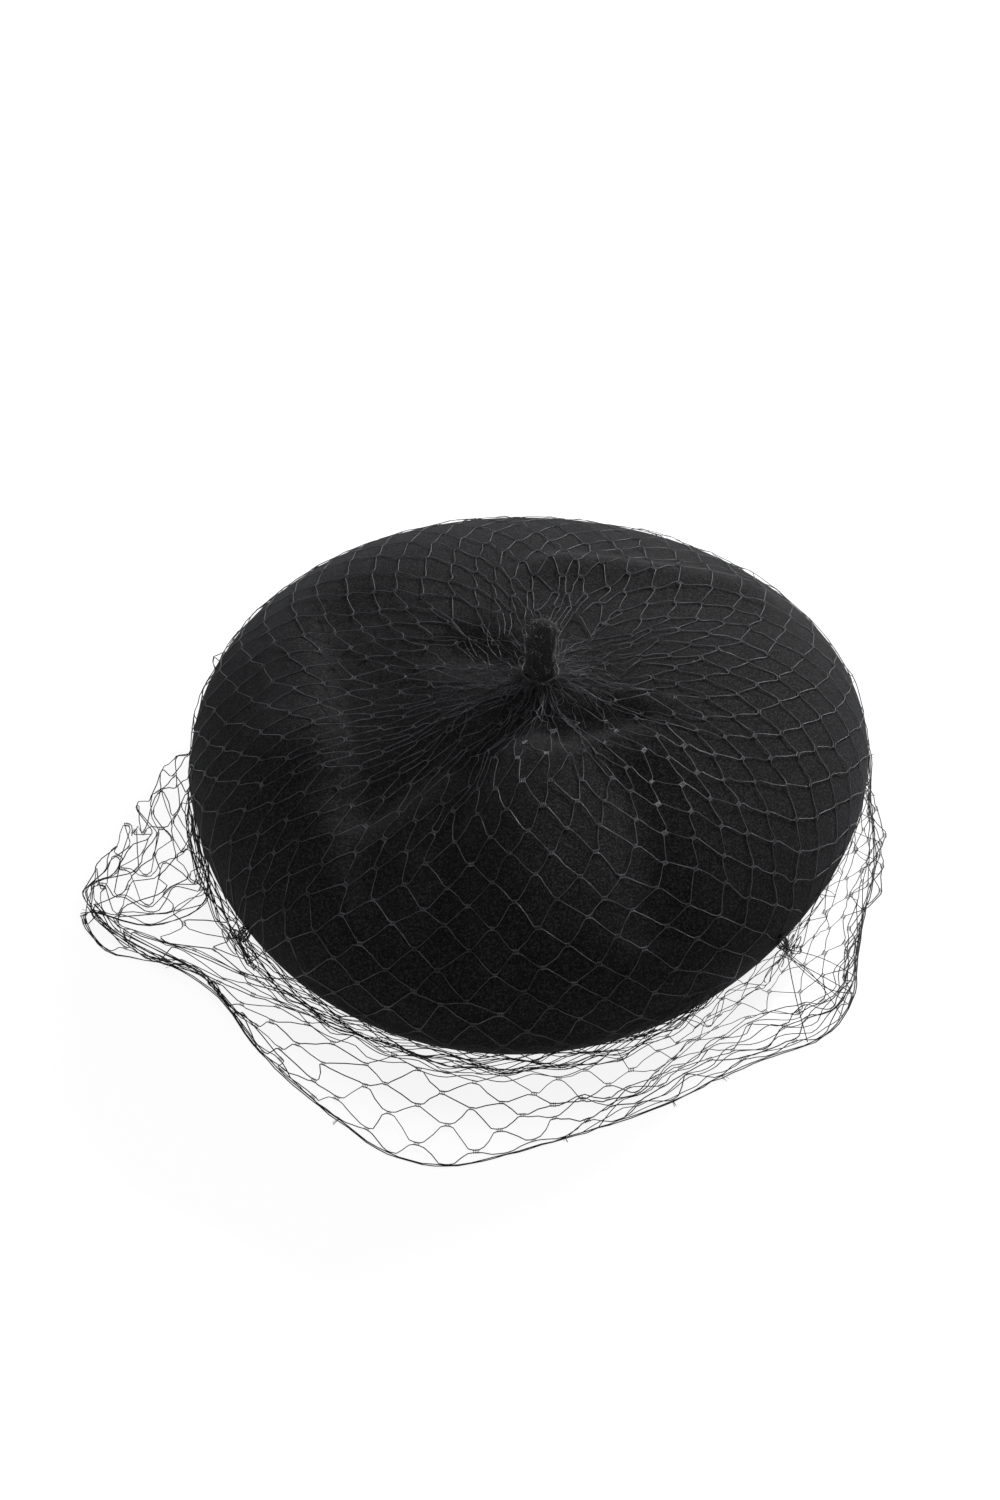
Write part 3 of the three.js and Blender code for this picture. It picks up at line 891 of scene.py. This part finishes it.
def laid_net():
    """The knots, row by row, where the net would lie if all its diamonds kept their sides."""
    lines = [net_line(half / 2) for half in range(2 * COLUMNS)]
    runs = [lengths(path) for path, _ in lines]
    reached = np.zeros((2 * COLUMNS, ROWS + 1))
    reached[:, 0] = FIRST_ROW
    for row in range(ROWS):
        here = np.array([along(l[0], r, d) for l, r, d in zip(lines, runs, reached[:, row])])
        width = np.linalg.norm(np.roll(here, -1, 0) - np.roll(here, 1, 0), axis=1)
        reached[:, row + 1] = reached[:, row] + np.sqrt(np.maximum(SIDE**2 - width**2 / 4, 4))
    for k, ((_, rim), run) in enumerate(zip(lines, runs)):
        fixed = 0.93 * run[rim]
        beyond = reached[k] > fixed
        stretch = (run[-1] - fixed) / (reached[k, -1] - fixed)
        reached[k, beyond] = fixed + (reached[k, beyond] - fixed) * stretch
    knots = np.zeros((ROWS + 1, COLUMNS, 3))
    for row in range(ROWS + 1):
        for column in range(COLUMNS):
            k = 2 * column + row % 2
            knots[row, column] = along(lines[k][0], runs[k], reached[k, row])
    return knots


def partners(row):
    """The columns, left and right, that a row's knots are tied to in the rows above and below."""
    left = (np.arange(COLUMNS) - 1 + row % 2) % COLUMNS
    return left, (left + 1) % COLUMNS


def net_sides():
    """The net's sides in four groups in which no knot comes twice."""
    groups = [[], [], [], []]
    for row in range(ROWS):
        for side, partner in enumerate(partners(row)):
            ends = np.stack([row * COLUMNS + np.arange(COLUMNS), (row + 1) * COLUMNS + partner], -1)
            groups[row % 2 * 2 + side].append(ends)
    return [np.concatenate(group) for group in groups]


# How the net settles in each step: its weight, the speed that it keeps, how firmly it evens
# itself out, how far a side may shorten, how close a diamond's ends may come, how much of its
# sliding the felt and the table stop, and how far a knot may move.
DRAPE_STEPS = 260
DRAPE_PASSES = 6
WEIGHT = 0.06
KEPT_SPEED = 0.9
STIFFNESS = 0.25
SHORTEST_SIDE = 0.93
CLOSEST_ENDS = 5
FELT_DRAG = 0.55
TABLE_DRAG = 0.3
TOP_SPEED = 1.5


def draped_net(knots):
    """The knots after they have settled: fixed at the stalk and along the hem, held by sides
    that don't stretch, resting on the felt and the table, and drawn in at the tacks."""
    sides = net_sides()
    slack = [SIDE * (1 + SIDE_SPREAD * rng.standard_normal(len(ends))) for ends in sides]
    points = knots.reshape(-1, 3).copy()
    fixed = np.zeros(len(points), bool)
    fixed[:COLUMNS] = True
    fixed[ROWS * COLUMNS :] = True
    free = (~fixed).astype(float)
    loose = free[:, None]
    speed = np.zeros_like(points)
    upper = np.arange((ROWS - 1) * COLUMNS)
    lower = upper + 2 * COLUMNS
    start = points.copy()
    bunched = bunching(turn_of(points) % (2 * np.pi)) > 0.3
    bunched &= (points[:, 2] < 0) & (points[:, 2] > -11.5)
    column = np.arange(COLUMNS) + 0.5 * (np.arange(ROWS + 1)[:, None] % 2)
    column_turn = np.degrees(np.interp(column, fine_columns, fine_turns)).ravel()
    flare = (column_turn > FLARE_HELD[0]) & (column_turn < FLARE_HELD[1]) & (points[:, 2] < -5)
    hold = np.where(flare, 0.85, 0.25 * bunched)[:, None] * loose
    caught = []
    for degree in TACK_TURNS:
        target = tack_place(degree)
        near = np.argsort(np.linalg.norm(points - target, axis=1))[:6]
        caught.append((near, target + rng.normal(0, 1.6, (len(near), 3))))
    for step in range(DRAPE_STEPS):
        before = points.copy()
        points = points + speed * KEPT_SPEED
        points[:, 2] -= WEIGHT
        points[fixed] = before[fixed]
        for _ in range(DRAPE_PASSES):
            for ends, rest in zip(sides, slack):
                a, b = ends.T
                gap = points[b] - points[a]
                length = np.linalg.norm(gap, axis=1) + 1e-9
                wanted = np.clip(length, SHORTEST_SIDE * rest, rest)
                firm = np.where(length > rest, 1, 0.35)
                share = free[a] + free[b]
                pull = gap * ((length - wanted) * firm / length / np.maximum(share, 1))[:, None]
                points[a] += pull * loose[a]
                points[b] -= pull * loose[b]
            gap = points[lower] - points[upper]
            length = np.linalg.norm(gap, axis=1) + 1e-9
            open_up = gap * (np.minimum(length - CLOSEST_ENDS, 0) * 0.1 / length)[:, None]
            points[upper] += open_up * loose[upper]
            points[lower] += -open_up * loose[lower]
        points += (start - points) * hold
        for near, spots in caught:
            points[near] += (spots - points[near]) * 0.3 * loose[near]
        if step % 2 == 0:
            grid = points.reshape(ROWS + 1, COLUMNS, 3)
            smoothed = grid.copy()
            for row in range(1, ROWS):
                left, right = partners(row)
                around = grid[row - 1][left] + grid[row - 1][right]
                around = around + grid[row + 1][left] + grid[row + 1][right]
                smoothed[row] += (around / 4 - grid[row]) * STIFFNESS
            points = smoothed.reshape(-1, 3)
        points, touching, out = off_the_felt(points, NET_GAP)
        slid = points - before
        slid -= out * (slid * out).sum(1)[:, None]
        points[touching] -= FELT_DRAG * slid[touching]
        low = points[:, 2] < NET_ON_TABLE
        points[low, 2] = NET_ON_TABLE
        points[low, :2] -= TABLE_DRAG * (points - before)[low, :2]
        points[fixed] = before[fixed]
        speed = points - before
        pace = np.linalg.norm(speed, axis=1)[:, None]
        speed *= np.minimum(1, TOP_SPEED / np.maximum(pace, 1e-9))
    return points.reshape(ROWS + 1, COLUMNS, 3)


def crumpled(knots):
    """The net isn't even where it is gathered: each knot there strays by part of a diamond.
    Along the front no knot strays past the hem."""
    width = np.linalg.norm(np.roll(knots, -1, 1) - knots, axis=-1, keepdims=True)
    reach = np.hypot(knots[..., :1], knots[..., 1:2])
    stray = width * (0.03 + 0.25 * (1 - smooth(reach, 20, 62)))
    moved = knots + rng.normal(0, 1, knots.shape) * (stray + 1.1 * (1 - smooth(reach, 15, 70)))
    moved[0], moved[ROWS] = knots[0], knots[ROWS]
    flat = moved.reshape(-1, 3)
    flat[:, 2] = np.maximum(flat[:, 2], NET_ON_TABLE)
    turn, hem_turn = np.degrees(turn_of(flat)) % 360, np.degrees(turn_of(hem_path)) % 360
    front = (hem_turn > FRONT[0]) & (hem_turn < FRONT[1])
    limit = np.interp(turn, hem_turn[front], reach_of(hem_path[front]) - 0.5)
    reach = reach_of(flat)
    outside = (turn > FRONT[0]) & (turn < FRONT[1]) & (flat[:, 2] < FRONT_LOW) & (reach > limit)
    outside[ROWS * COLUMNS :] = False
    flat[outside, :2] *= (limit / reach)[outside, None]
    return off_the_felt(flat, NET_GAP)[0].reshape(knots.shape)


knots = laid_net()
knots = draped_net(knots)
knots = crumpled(knots)

# The directions at each knot: along its bar knot, across it (down the net), and off the net.
knot_along = unit(np.roll(knots, -1, 1) - np.roll(knots, 1, 1))
knot_across = np.zeros_like(knots)
for row in range(ROWS + 1):
    left, right = partners(row)
    if row < ROWS:
        knot_across[row] += (knots[row + 1][left] + knots[row + 1][right]) / 2 - knots[row]
    if row > 0:
        knot_across[row] -= (knots[row - 1][left] + knots[row - 1][right]) / 2 - knots[row]
knot_across -= knot_along * (knot_across * knot_along).sum(-1, keepdims=True)
near_table = knots[..., 2] < NET_ON_TABLE + 3
knot_along[near_table, 2] = 0
knot_across[near_table, 2] = 0
knot_along, knot_across = unit(knot_along), unit(knot_across)
knot_normal = np.cross(knot_across, knot_along)
beside = np.roll(knots, -1, 1) - np.roll(knots, 1, 1)
knot_width = np.linalg.norm(beside, axis=-1, keepdims=True) / 2
knot_size = np.clip(knot_width / 8, 0.15, 1) * rng.uniform(0.8, 1.15, knot_width.shape)

# A bar knot's half length and how far apart its two threads lie, how long a thread takes to
# turn off it where it is taut and how much longer where it is slack, and how far a thread
# strays anywhere and near the stalk.
KNOT_HALF = 0.9
STRAND_APART = 0.5
CORNER = 3
SLACK_CORNER = 9
WANDER = 0.2
CRIMP = 0.55


def net_thread(band):
    """The closed zig-zag of one thread between two rows of knots."""
    visits = []
    for column in range(COLUMNS):
        pair = [(band, column, 1), (band + 1, column, -1)]
        visits += pair if band % 2 == 0 else pair[::-1]
    rows, columns, way = np.array(visits).T
    middle, run = knots[rows, columns], knot_along[rows, columns]
    size = knot_size[rows, columns]
    beside = middle + knot_across[rows, columns] * (STRAND_APART * way[:, None] * size)
    enter, leave = beside - run * KNOT_HALF * size, beside + run * KNOT_HALF * size
    slack = smooth(reach_of(middle) - rim_radius(turn_of(middle)), 8, 24)[:, None]
    longest = (0.4 + 0.8 * slack) * knot_width[rows, columns]
    corner = run * np.minimum(CORNER + SLACK_CORNER * slack, longest)
    arrive, arrive_corner = np.roll(enter, -1, 0), np.roll(corner, -1, 0)
    points = [enter, leave]
    for t in (0.18, 0.5, 0.82):
        point = (
            (2 * t**3 - 3 * t**2 + 1) * leave
            + (t**3 - 2 * t**2 + t) * corner
            + (3 * t**2 - 2 * t**3) * arrive
            + (t**3 - t**2) * arrive_corner
        )
        near_stalk = 1 - smooth(reach_of(point), 15, 62)[:, None]
        points.append(point + rng.normal(0, 1, point.shape) * (WANDER + CRIMP * near_stalk))
    return np.stack(points, 1).reshape(-1, 3)


def on_crown(turn, radius, lift):
    """Points on the crown at a given radius, lifted off the felt."""
    share = np.arcsin((radius / rim_radius(turn)) ** (CROWN_POWER / 2)) * 2 / np.pi
    return polar(turn, radius, crown(turn, share)[1] + lift)


# Loose strands of the gathered edge: each leaves the binding, lies over the folds of the net
# and wanders back into it.
GATHERS = 60


def zigzag(distance):
    """From -1 to 1 and back in each unit of distance."""
    return np.abs(distance % 1 - 0.5) * 4 - 1


def gathered_strand():
    reach = rng.uniform(16, 42) if rng.random() < 0.6 else rng.uniform(10, 20)
    t = np.linspace(0, 1, 14)
    curl, spins, start = rng.uniform(0.3, 3.2), rng.uniform(5, 14), rng.uniform(0, 6)
    radius = 6 + (reach - 6) * t + curl * t * np.sin(spins * t + start)
    turn = rng.uniform(0, 2 * np.pi) + rng.uniform(-0.6, 0.6) * t
    turn = turn + curl * t * np.cos(spins * t + start) / radius
    lift = 0.7 + rng.uniform(0.3, 2.0) * np.sin(np.pi * t) ** 2 + 2.2 * (1 - t) ** 3
    return spline(on_crown(turn, np.clip(radius, 5.8, 60), lift), steps=2)


# The slack of the fall, caught up under the rim at the front: its threads lie there in a loose
# band, zig-zagging past each other.
BUNCH_STRANDS = 12
BUNCH_FROM, BUNCH_TO = math.radians(188), math.radians(302)
BUNCH_STEP = 5


def bunched_strand(number):
    count = int((BUNCH_TO - BUNCH_FROM) * RIM_RADIUS / BUNCH_STEP)
    turn = np.linspace(BUNCH_FROM, BUNCH_TO, count) + rng.uniform(-0.08, 0.08)
    share = (number + rng.uniform(0, 1)) / BUNCH_STRANDS
    sway = np.cumsum(rng.normal(0, 0.09, count))
    sway -= np.linspace(sway[0], sway[-1], count)
    folds = zigzag(turn * RIM_RADIUS / 23 + rng.uniform(0, 1))
    inner = np.sin(np.pi * np.linspace(0, 1, count)) ** 0.3
    height = -1.5 - 11 * share * inner + 2.3 * folds + 2 * sway
    out = 1 + 5.5 * share * inner + rng.normal(0, 0.35, count) + np.abs(sway)
    return spline(polar(turn, rim_radius(turn) + out, height), steps=2)


# On the right the edge is doubled under, and a few of its threads are drawn straight from the
# tack to the corner of the hem.
EDGE_STRANDS = 5
EDGE_TURNS = (-88, -24)
PULLED_STRANDS = 6
PULLED_TURNS = (-50, -26)
hem_degrees = np.degrees(turn_of(hem_path))


def doubled_edge(number):
    from_degree = EDGE_TURNS[0] + rng.uniform(0, 12)
    part = hem_path[(hem_degrees > from_degree) & (hem_degrees < EDGE_TURNS[1])]
    run = lengths(part)
    distance = np.arange(0, run[-1], 6)
    folds = zigzag(distance / 24 + rng.uniform(0, 1))
    inner = np.sin(np.pi * distance / distance[-1]) ** 0.5
    inward = (2 + 2.6 * number) * inner + (1.2 + 0.5 * number) * folds * inner
    path = along(part, run, distance)
    path = path - unit(path) * (inward + rng.normal(0, 0.4, len(path)))[:, None]
    height = NET_ON_TABLE + 0.4 + 0.9 * number * inner + rng.uniform(0, 0.6, len(path))
    return spline(np.column_stack([path, height]), steps=2)


def pulled_strand():
    tack = tack_place(TACK_TURNS[0]) + rng.normal(0, 1.5, 3)
    here = np.flatnonzero((hem_degrees > PULLED_TURNS[0]) & (hem_degrees < PULLED_TURNS[1]))
    foot = np.append(hem_path[rng.choice(here)], NET_ON_TABLE + 0.5)
    steps = np.linspace(0, 1, 7)[:, None]
    bow = np.sin(np.pi * steps) * rng.normal(0, 2, 3)
    return spline(tack * (1 - steps) + foot * steps + bow, steps=2)


# Where the net is caught by a tack its slack makes small loops and curls.
CURLS = 7


def tack_curl(degree):
    turn = math.radians(degree) + rng.normal(0, 0.04)
    size = rng.uniform(1.8, 4.5)
    angle = np.linspace(0, rng.uniform(4, 9), 12)
    aside = turn + size * np.cos(angle + rng.uniform(0, 6)) * 1.3 / RIM_RADIUS
    height = rng.normal(-TACK_DROP, 2) + size * np.sin(angle)
    out = rim_radius(aside) + 3 + rng.uniform(0, 4) + np.cos(angle)
    return spline(polar(aside, out, height), steps=2)


# Tufts: cut ends left where the net was trimmed along the hem.
TUFTS = 16


def hem_tuft():
    column = rng.integers(COLUMNS)
    base = knots[ROWS, column]
    out = unit(base * (1, 1, 0))
    strands = []
    for _ in range(3):
        side = np.array([-out[1], out[0], 0]) * rng.uniform(-1.2, 1.2)
        tip = base + out * rng.uniform(1.6, 3.4) + side * 1.4 + (0, 0, rng.uniform(0, 0.6))
        strands.append(spline([base + side * 0.5, (base + tip) / 2 + side * 0.3, tip], steps=2))
    return strands


closed_lines = [net_thread(band) for band in range(ROWS)]
hem_line = spline(knots[ROWS], closed=True, steps=5)[:-1]
hem_out = unit(hem_line * (1, 1, 0))
closed_lines.append(hem_line + rng.normal(0, 0.12, hem_line.shape))
closed_lines.append(hem_line + hem_out * 0.55 + rng.normal(0, 0.18, hem_line.shape))
open_lines = [bunched_strand(number) for number in range(BUNCH_STRANDS)]
open_lines += [doubled_edge(number) for number in range(EDGE_STRANDS)]
open_lines += [pulled_strand() for _ in range(PULLED_STRANDS)]
for degree in (TACK_TURNS[0], TACK_TURNS[3]):
    open_lines += [tack_curl(degree) for _ in range(CURLS)]
bunch_count = sum(len(path) for path in open_lines)
open_lines += [gathered_strand() for _ in range(GATHERS)]
for _ in range(TUFTS):
    open_lines += hem_tuft()


def line_mesh(closed_paths, open_paths):
    """Polylines as the points and edges of one mesh, the closed ones first."""
    edges, first = [], 0
    for number, path in enumerate([*closed_paths, *open_paths]):
        last = first + len(path) - 1
        edges += [(i, i + 1) for i in range(first, last)]
        if number < len(closed_paths):
            edges.append((last, first))
        first = last + 1
    return np.concatenate([*closed_paths, *open_paths]), edges


line_points, line_edges = line_mesh(closed_lines, open_lines)
line_points = off_the_felt(line_points, 0.3)[0]
line_points[:, 2] = np.maximum(line_points[:, 2], NET_ON_TABLE - 0.1)
hem_first = sum(len(path) for path in closed_lines[:-2])
hem_last = hem_first + 2 * len(hem_line)
reach = reach_of(line_points)
# How thick each thread is, as a share of the net's thread: thin near the stalk, where it is
# pulled tight, full on the fall and along the hem, and thin again in the loose ends.
thickness = 0.42 + 0.27 * smooth(reach, 15, 60)
thickness += 0.31 * smooth(reach, RIM_RADIUS - 8, RIM_RADIUS + 4)
thickness[hem_first:hem_last] = 1.05
thickness[hem_last:] = 0.85
thickness[hem_last + bunch_count :] = 0.42

# Drawn nylon, smooth and a little glossy. Above the rim, where the threads lie on the dark felt,
# their colour is greyed: a painted highlight, for the sheen they catch there; on the fall they keep
# their own black.
net_finish, tree, shader = new_finish(
    "black drawn nylon", roughness=0.45, specular_ior_level=0.3
)
spot = add(tree, "ShaderNodeTexCoord").outputs["Object"]
uneven = add(tree, "ShaderNodeTexNoise", {"Vector": spot, "Scale": 1000 / 7, "Detail": 2})
stops = ((0.35, "#0b0b0c"), (0.65, "#151517"))
bare_black = add(tree, "ShaderNodeValToRGB", {"Fac": uneven}, stops=stops)
stops = ((0.35, "#262629"), (0.65, "#4b4b50"))
painted_highlight = add(tree, "ShaderNodeValToRGB", {"Fac": uneven}, stops=stops)
height = add(tree, "ShaderNodeSeparateXYZ", {"Vector": spot}).outputs["Z"]
rim_at = float(axis_point[2])
on_felt = {"Value": height, "From Min": rim_at - 0.001, "From Max": rim_at + 0.004}
on_felt = add(tree, "ShaderNodeMapRange", on_felt)
greyed = {"Fac": on_felt, "Color1": bare_black, "Color2": painted_highlight}
add(tree, "ShaderNodeMixRGB", greyed, to=shader.inputs["Base Color"])

tree, given, result = new_growth(
    "netting",
    Thread="Float",
    Sides="Int",
    Bars="Int",
    Length="Float",
    Pitch="Float",
    Material="Material",
)
# Tubes along the lines, as thick as the attribute says.
half_thread = add(tree, "ShaderNodeMath", {0: given["Thread"], 1: 0.5}, operation="MULTIPLY")
section = {"Resolution": given["Sides"], "Radius": half_thread}
section = add(tree, "GeometryNodeCurvePrimitiveCircle", section)
thick = add(tree, "GeometryNodeInputNamedAttribute", {"Name": "thick"}, data_type="FLOAT")
lines = add(tree, "GeometryNodeMeshToCurve", {"Mesh": given["Geometry"]})
tubes = {"Curve": lines, "Profile Curve": section, "Scale": thick, "Fill Caps": True}
tubes = add(tree, "GeometryNodeCurveToMesh", tubes)
# A bar knot: a row of short bars across the two threads that it binds.
bar_radius = add(tree, "ShaderNodeMath", {0: half_thread, 1: 0.6}, operation="MULTIPLY")
bar = {"Vertices": 3, "Radius": bar_radius, "Depth": given["Length"]}
bar = add(tree, "GeometryNodeMeshCylinder", bar, fill_type="NGON")
laid = add(tree, "GeometryNodeTransform", {"Geometry": bar, "Rotation": (math.pi / 2, 0, 0)})
step = add(tree, "ShaderNodeCombineXYZ", {"X": given["Pitch"]})
gaps = add(tree, "ShaderNodeMath", {0: given["Bars"], 1: 1}, operation="SUBTRACT")
back = add(tree, "ShaderNodeMath", {0: gaps, 1: -0.5}, operation="MULTIPLY")
start = add(tree, "ShaderNodeVectorMath", {0: step, "Scale": back}, operation="SCALE")
row_of_bars = {"Count": given["Bars"], "Start Location": start, "Offset": step}
row_of_bars = add(tree, "GeometryNodeMeshLine", row_of_bars)
bars = add(tree, "GeometryNodeInstanceOnPoints", {"Points": row_of_bars, "Instance": laid})
bar_knot = add(tree, "GeometryNodeRealizeInstances", {"Geometry": bars})
# One at each point whose knot attribute, its size, isn't 0.
is_knot = add(tree, "GeometryNodeInputNamedAttribute", {"Name": "knot"}, data_type="FLOAT")
run = add(tree, "GeometryNodeInputNamedAttribute", {"Name": "run"}, data_type="FLOAT_VECTOR")
off = add(tree, "GeometryNodeInputNamedAttribute", {"Name": "off"}, data_type="FLOAT_VECTOR")
rotation = add(
    tree,
    "FunctionNodeAxesToRotation",
    {"Primary Axis": run, "Secondary Axis": off},
    primary_axis="X",
    secondary_axis="Z",
)
some = add(tree, "FunctionNodeCompare", {0: is_knot, 1: 0.01}, operation="GREATER_THAN")
tied = add(
    tree,
    "GeometryNodeInstanceOnPoints",
    {
        "Points": given["Geometry"],
        "Selection": some,
        "Instance": bar_knot,
        "Rotation": rotation,
        "Scale": is_knot,
    },
)
both = add(tree, "GeometryNodeJoinGeometry", {"Geometry": [tubes, tied]})
dress(tree, both, given, result)
netting_tree = tree

# The first two rows are hidden in the gathers and have no knots. Points on lines have a knot of
# size 0, and any direction will do for them.
tied_rows = slice(2, ROWS)
knot_points = knots[tied_rows].reshape(-1, 3)
veil = piece("veil_net", np.concatenate([line_points, knot_points]), [], None, line_edges)
none = np.zeros(len(line_points))
for name, on_lines, on_knots in (
    ("thick", thickness, 0 * knot_points[:, 0]),
    ("knot", none, knot_size[tied_rows].ravel()),
    ("run", line_points, knot_along[tied_rows].reshape(-1, 3)),
    ("off", line_points, knot_normal[tied_rows].reshape(-1, 3)),
):
    kind, field = ("FLOAT", "value") if on_lines.ndim == 1 else ("FLOAT_VECTOR", "vector")
    values = np.concatenate([on_lines, on_knots]).ravel()
    veil.data.attributes.new(name, kind, "POINT").data.foreach_set(field, values)
net_values = {"Thread": NET_THREAD / 1000, "Sides": 4, "Bars": 4, "Length": 0.0018}
grow(veil, netting_tree, {**net_values, "Pitch": 0.0006, "Material": net_finish})
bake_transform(veil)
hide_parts("veil_crown", "veil_skirt", "veil_front")


# ---- Binding --------------------------------------------------------------------------------
# Five turns of doubled thread pulled tight round the net's gathered edge at the foot of the
# stalk, with the ends knotted and cut.
BINDING_RADIUS = 7.0
BINDING_LOW = 1.5
BINDING_HIGH = 3.4
BINDING_TURNS = 5
BINDING_THREAD = 0.6


def laid_thread(name, closed_paths, open_paths, width, node):
    """A piece made of lengths of sewing thread, which stands for a node."""
    points, edges = line_mesh(closed_paths, open_paths)
    made = piece(name, points, [], None, edges)
    thick = made.data.attributes.new("thick", "FLOAT", "POINT")
    thick.data.foreach_set("value", [1.0] * len(points))
    values = {"Thread": width / 1000, "Sides": 6, "Bars": 1, "Material": thread_finish}
    grow(made, netting_tree, values)
    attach(made, "beret")
    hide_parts(node)


t = np.linspace(0, 1, 40 * BINDING_TURNS)
coil_turns = 2 * np.pi * BINDING_TURNS * t
wobble = 0.25 * np.sin(3.3 * coil_turns) + 0.2 * np.sin(1.7 * coil_turns + 1)
coil = polar(
    coil_turns - 2,
    BINDING_RADIUS + wobble,
    top_height + BINDING_LOW + (BINDING_HIGH - BINDING_LOW) * t + 0.3 * np.sin(2.1 * coil_turns),
)
tails = [
    spline([coil[-1], coil[-1] + (1.5, -1.6, 1.0), coil[-1] + (4.5, -3.0, 0.2)], steps=5),
    spline([coil[0], coil[0] + (-1.5, -1.8, 0.8), coil[0] + (-3.0, -4.5, 0.3)], steps=5),
]
laid_thread("stalk_binding_thread", [], [coil, *tails], BINDING_THREAD, "stalk_binding")


# ---- Tacks ----------------------------------------------------------------------------------
# Four places just under the rim where a few whip stitches catch the net's knots to the felt,
# so that the veil can't ride up. Each is finished with a knot and two short cut ends.
for number, degree in enumerate(TACK_TURNS, 1):
    turn = math.radians(degree)
    middle_radius = float(rim_radius(turn)) + 1.6
    around = np.linspace(0, 2 * np.pi, 14, endpoint=False)
    loops = []
    for k in range(5):
        lean = rng.uniform(-0.3, 0.3)
        shift = (k - 2) * 0.55 / middle_radius
        height = -TACK_DROP / 2 + 3.1 * np.sin(around + lean)
        loops.append(polar(turn + shift, middle_radius + 2.2 * np.cos(around), height))
    knot_spot = polar(turn, middle_radius + 2.3, -TACK_DROP / 2 - 1.0)
    ends = []
    for _ in range(2):
        drift = rng.normal(0, 1.5, 3) + unit(knot_spot * (1, 1, 0)) * 2
        ends.append(spline([knot_spot, knot_spot + drift * 0.6, knot_spot + drift * 1.6], steps=4))
    laid_thread(f"veil_tack_stitches_{number}", loops, ends, THREAD, f"veil_tack_{number}")


# ---- Table and light ------------------------------------------------------------------------
# A plain pale table that glows, so that it stays near white under soft light, a white room,
# and three soft lamps: behind on the right, overhead, and a weak one at the front left.
TABLE_HALF = 60
table_mesh = bpy.data.meshes.new("table")
corners = [(x * TABLE_HALF, y * TABLE_HALF, 0) for x, y in ((-1, -1), (1, -1), (1, 1), (-1, 1))]
table_mesh.from_pydata(corners, [], [(0, 1, 2, 3)])
table_finish, tree, shader = new_finish(
    "pale lit table",
    roughness=0.8,
    specular_ior_level=0.1,
    emission_strength=0.87,
    emission_color=(1, 1, 1, 1),
)
spot = add(tree, "ShaderNodeTexCoord").outputs["Object"]
faint = {"Fac": add(tree, "ShaderNodeTexNoise", {"Vector": spot, "Scale": 2})}
stops = ((0, "#808080"), (1, "#858585"))
add(tree, "ShaderNodeValToRGB", faint, to=shader.inputs["Base Color"], stops=stops)
table_mesh.materials.append(table_finish)
table = bpy.data.objects.new("table", table_mesh)
bpy.context.scene.collection.objects.link(table)

world = bpy.data.worlds.new("white room")
world.use_nodes = True
world.node_tree.nodes["Background"].inputs["Color"].default_value = (1, 1, 1, 1)
world.node_tree.nodes["Background"].inputs["Strength"].default_value = 0.3
bpy.context.scene.world = world


def lamp(name, place, size, watts):
    """A square soft lamp that faces the top of the hat."""
    light = bpy.data.lights.new(name, "AREA")
    light.size = size
    light.energy = watts
    made = bpy.data.objects.new(name, light)
    made.location = Vector(place)
    aim = Vector(axis_point) - made.location
    made.rotation_euler = aim.to_track_quat("-Z", "Y").to_euler()
    bpy.context.scene.collection.objects.link(made)


# Place in metres, size in metres, and watts.
lamp("key", (0.75, 1.1, 0.62), 0.4, 34)
lamp("overhead", (0.1, 0.4, 1.6), 0.8, 6)
lamp("fill", (-1.2, -0.9, 0.9), 1.2, 2)

# The camera looks down at the hat from the front.
CAMERA_PITCH = math.radians(47)
CAMERA_AWAY = 1.0
camera_data = bpy.data.cameras.new("camera")
camera_data.sensor_width = 36
camera_data.lens = 58.4
camera_data.shift_x = -0.0265
camera_data.shift_y = 0.0171
camera = bpy.data.objects.new("camera", camera_data)
back = Vector((0, -math.cos(CAMERA_PITCH), math.sin(CAMERA_PITCH))) * CAMERA_AWAY
camera.location = Vector(axis_point) + back
camera.rotation_euler = (math.pi / 2 - CAMERA_PITCH, 0, 0)
bpy.context.scene.collection.objects.link(camera)
bpy.context.scene.camera = camera
bpy.context.scene.view_settings.view_transform = "Standard"
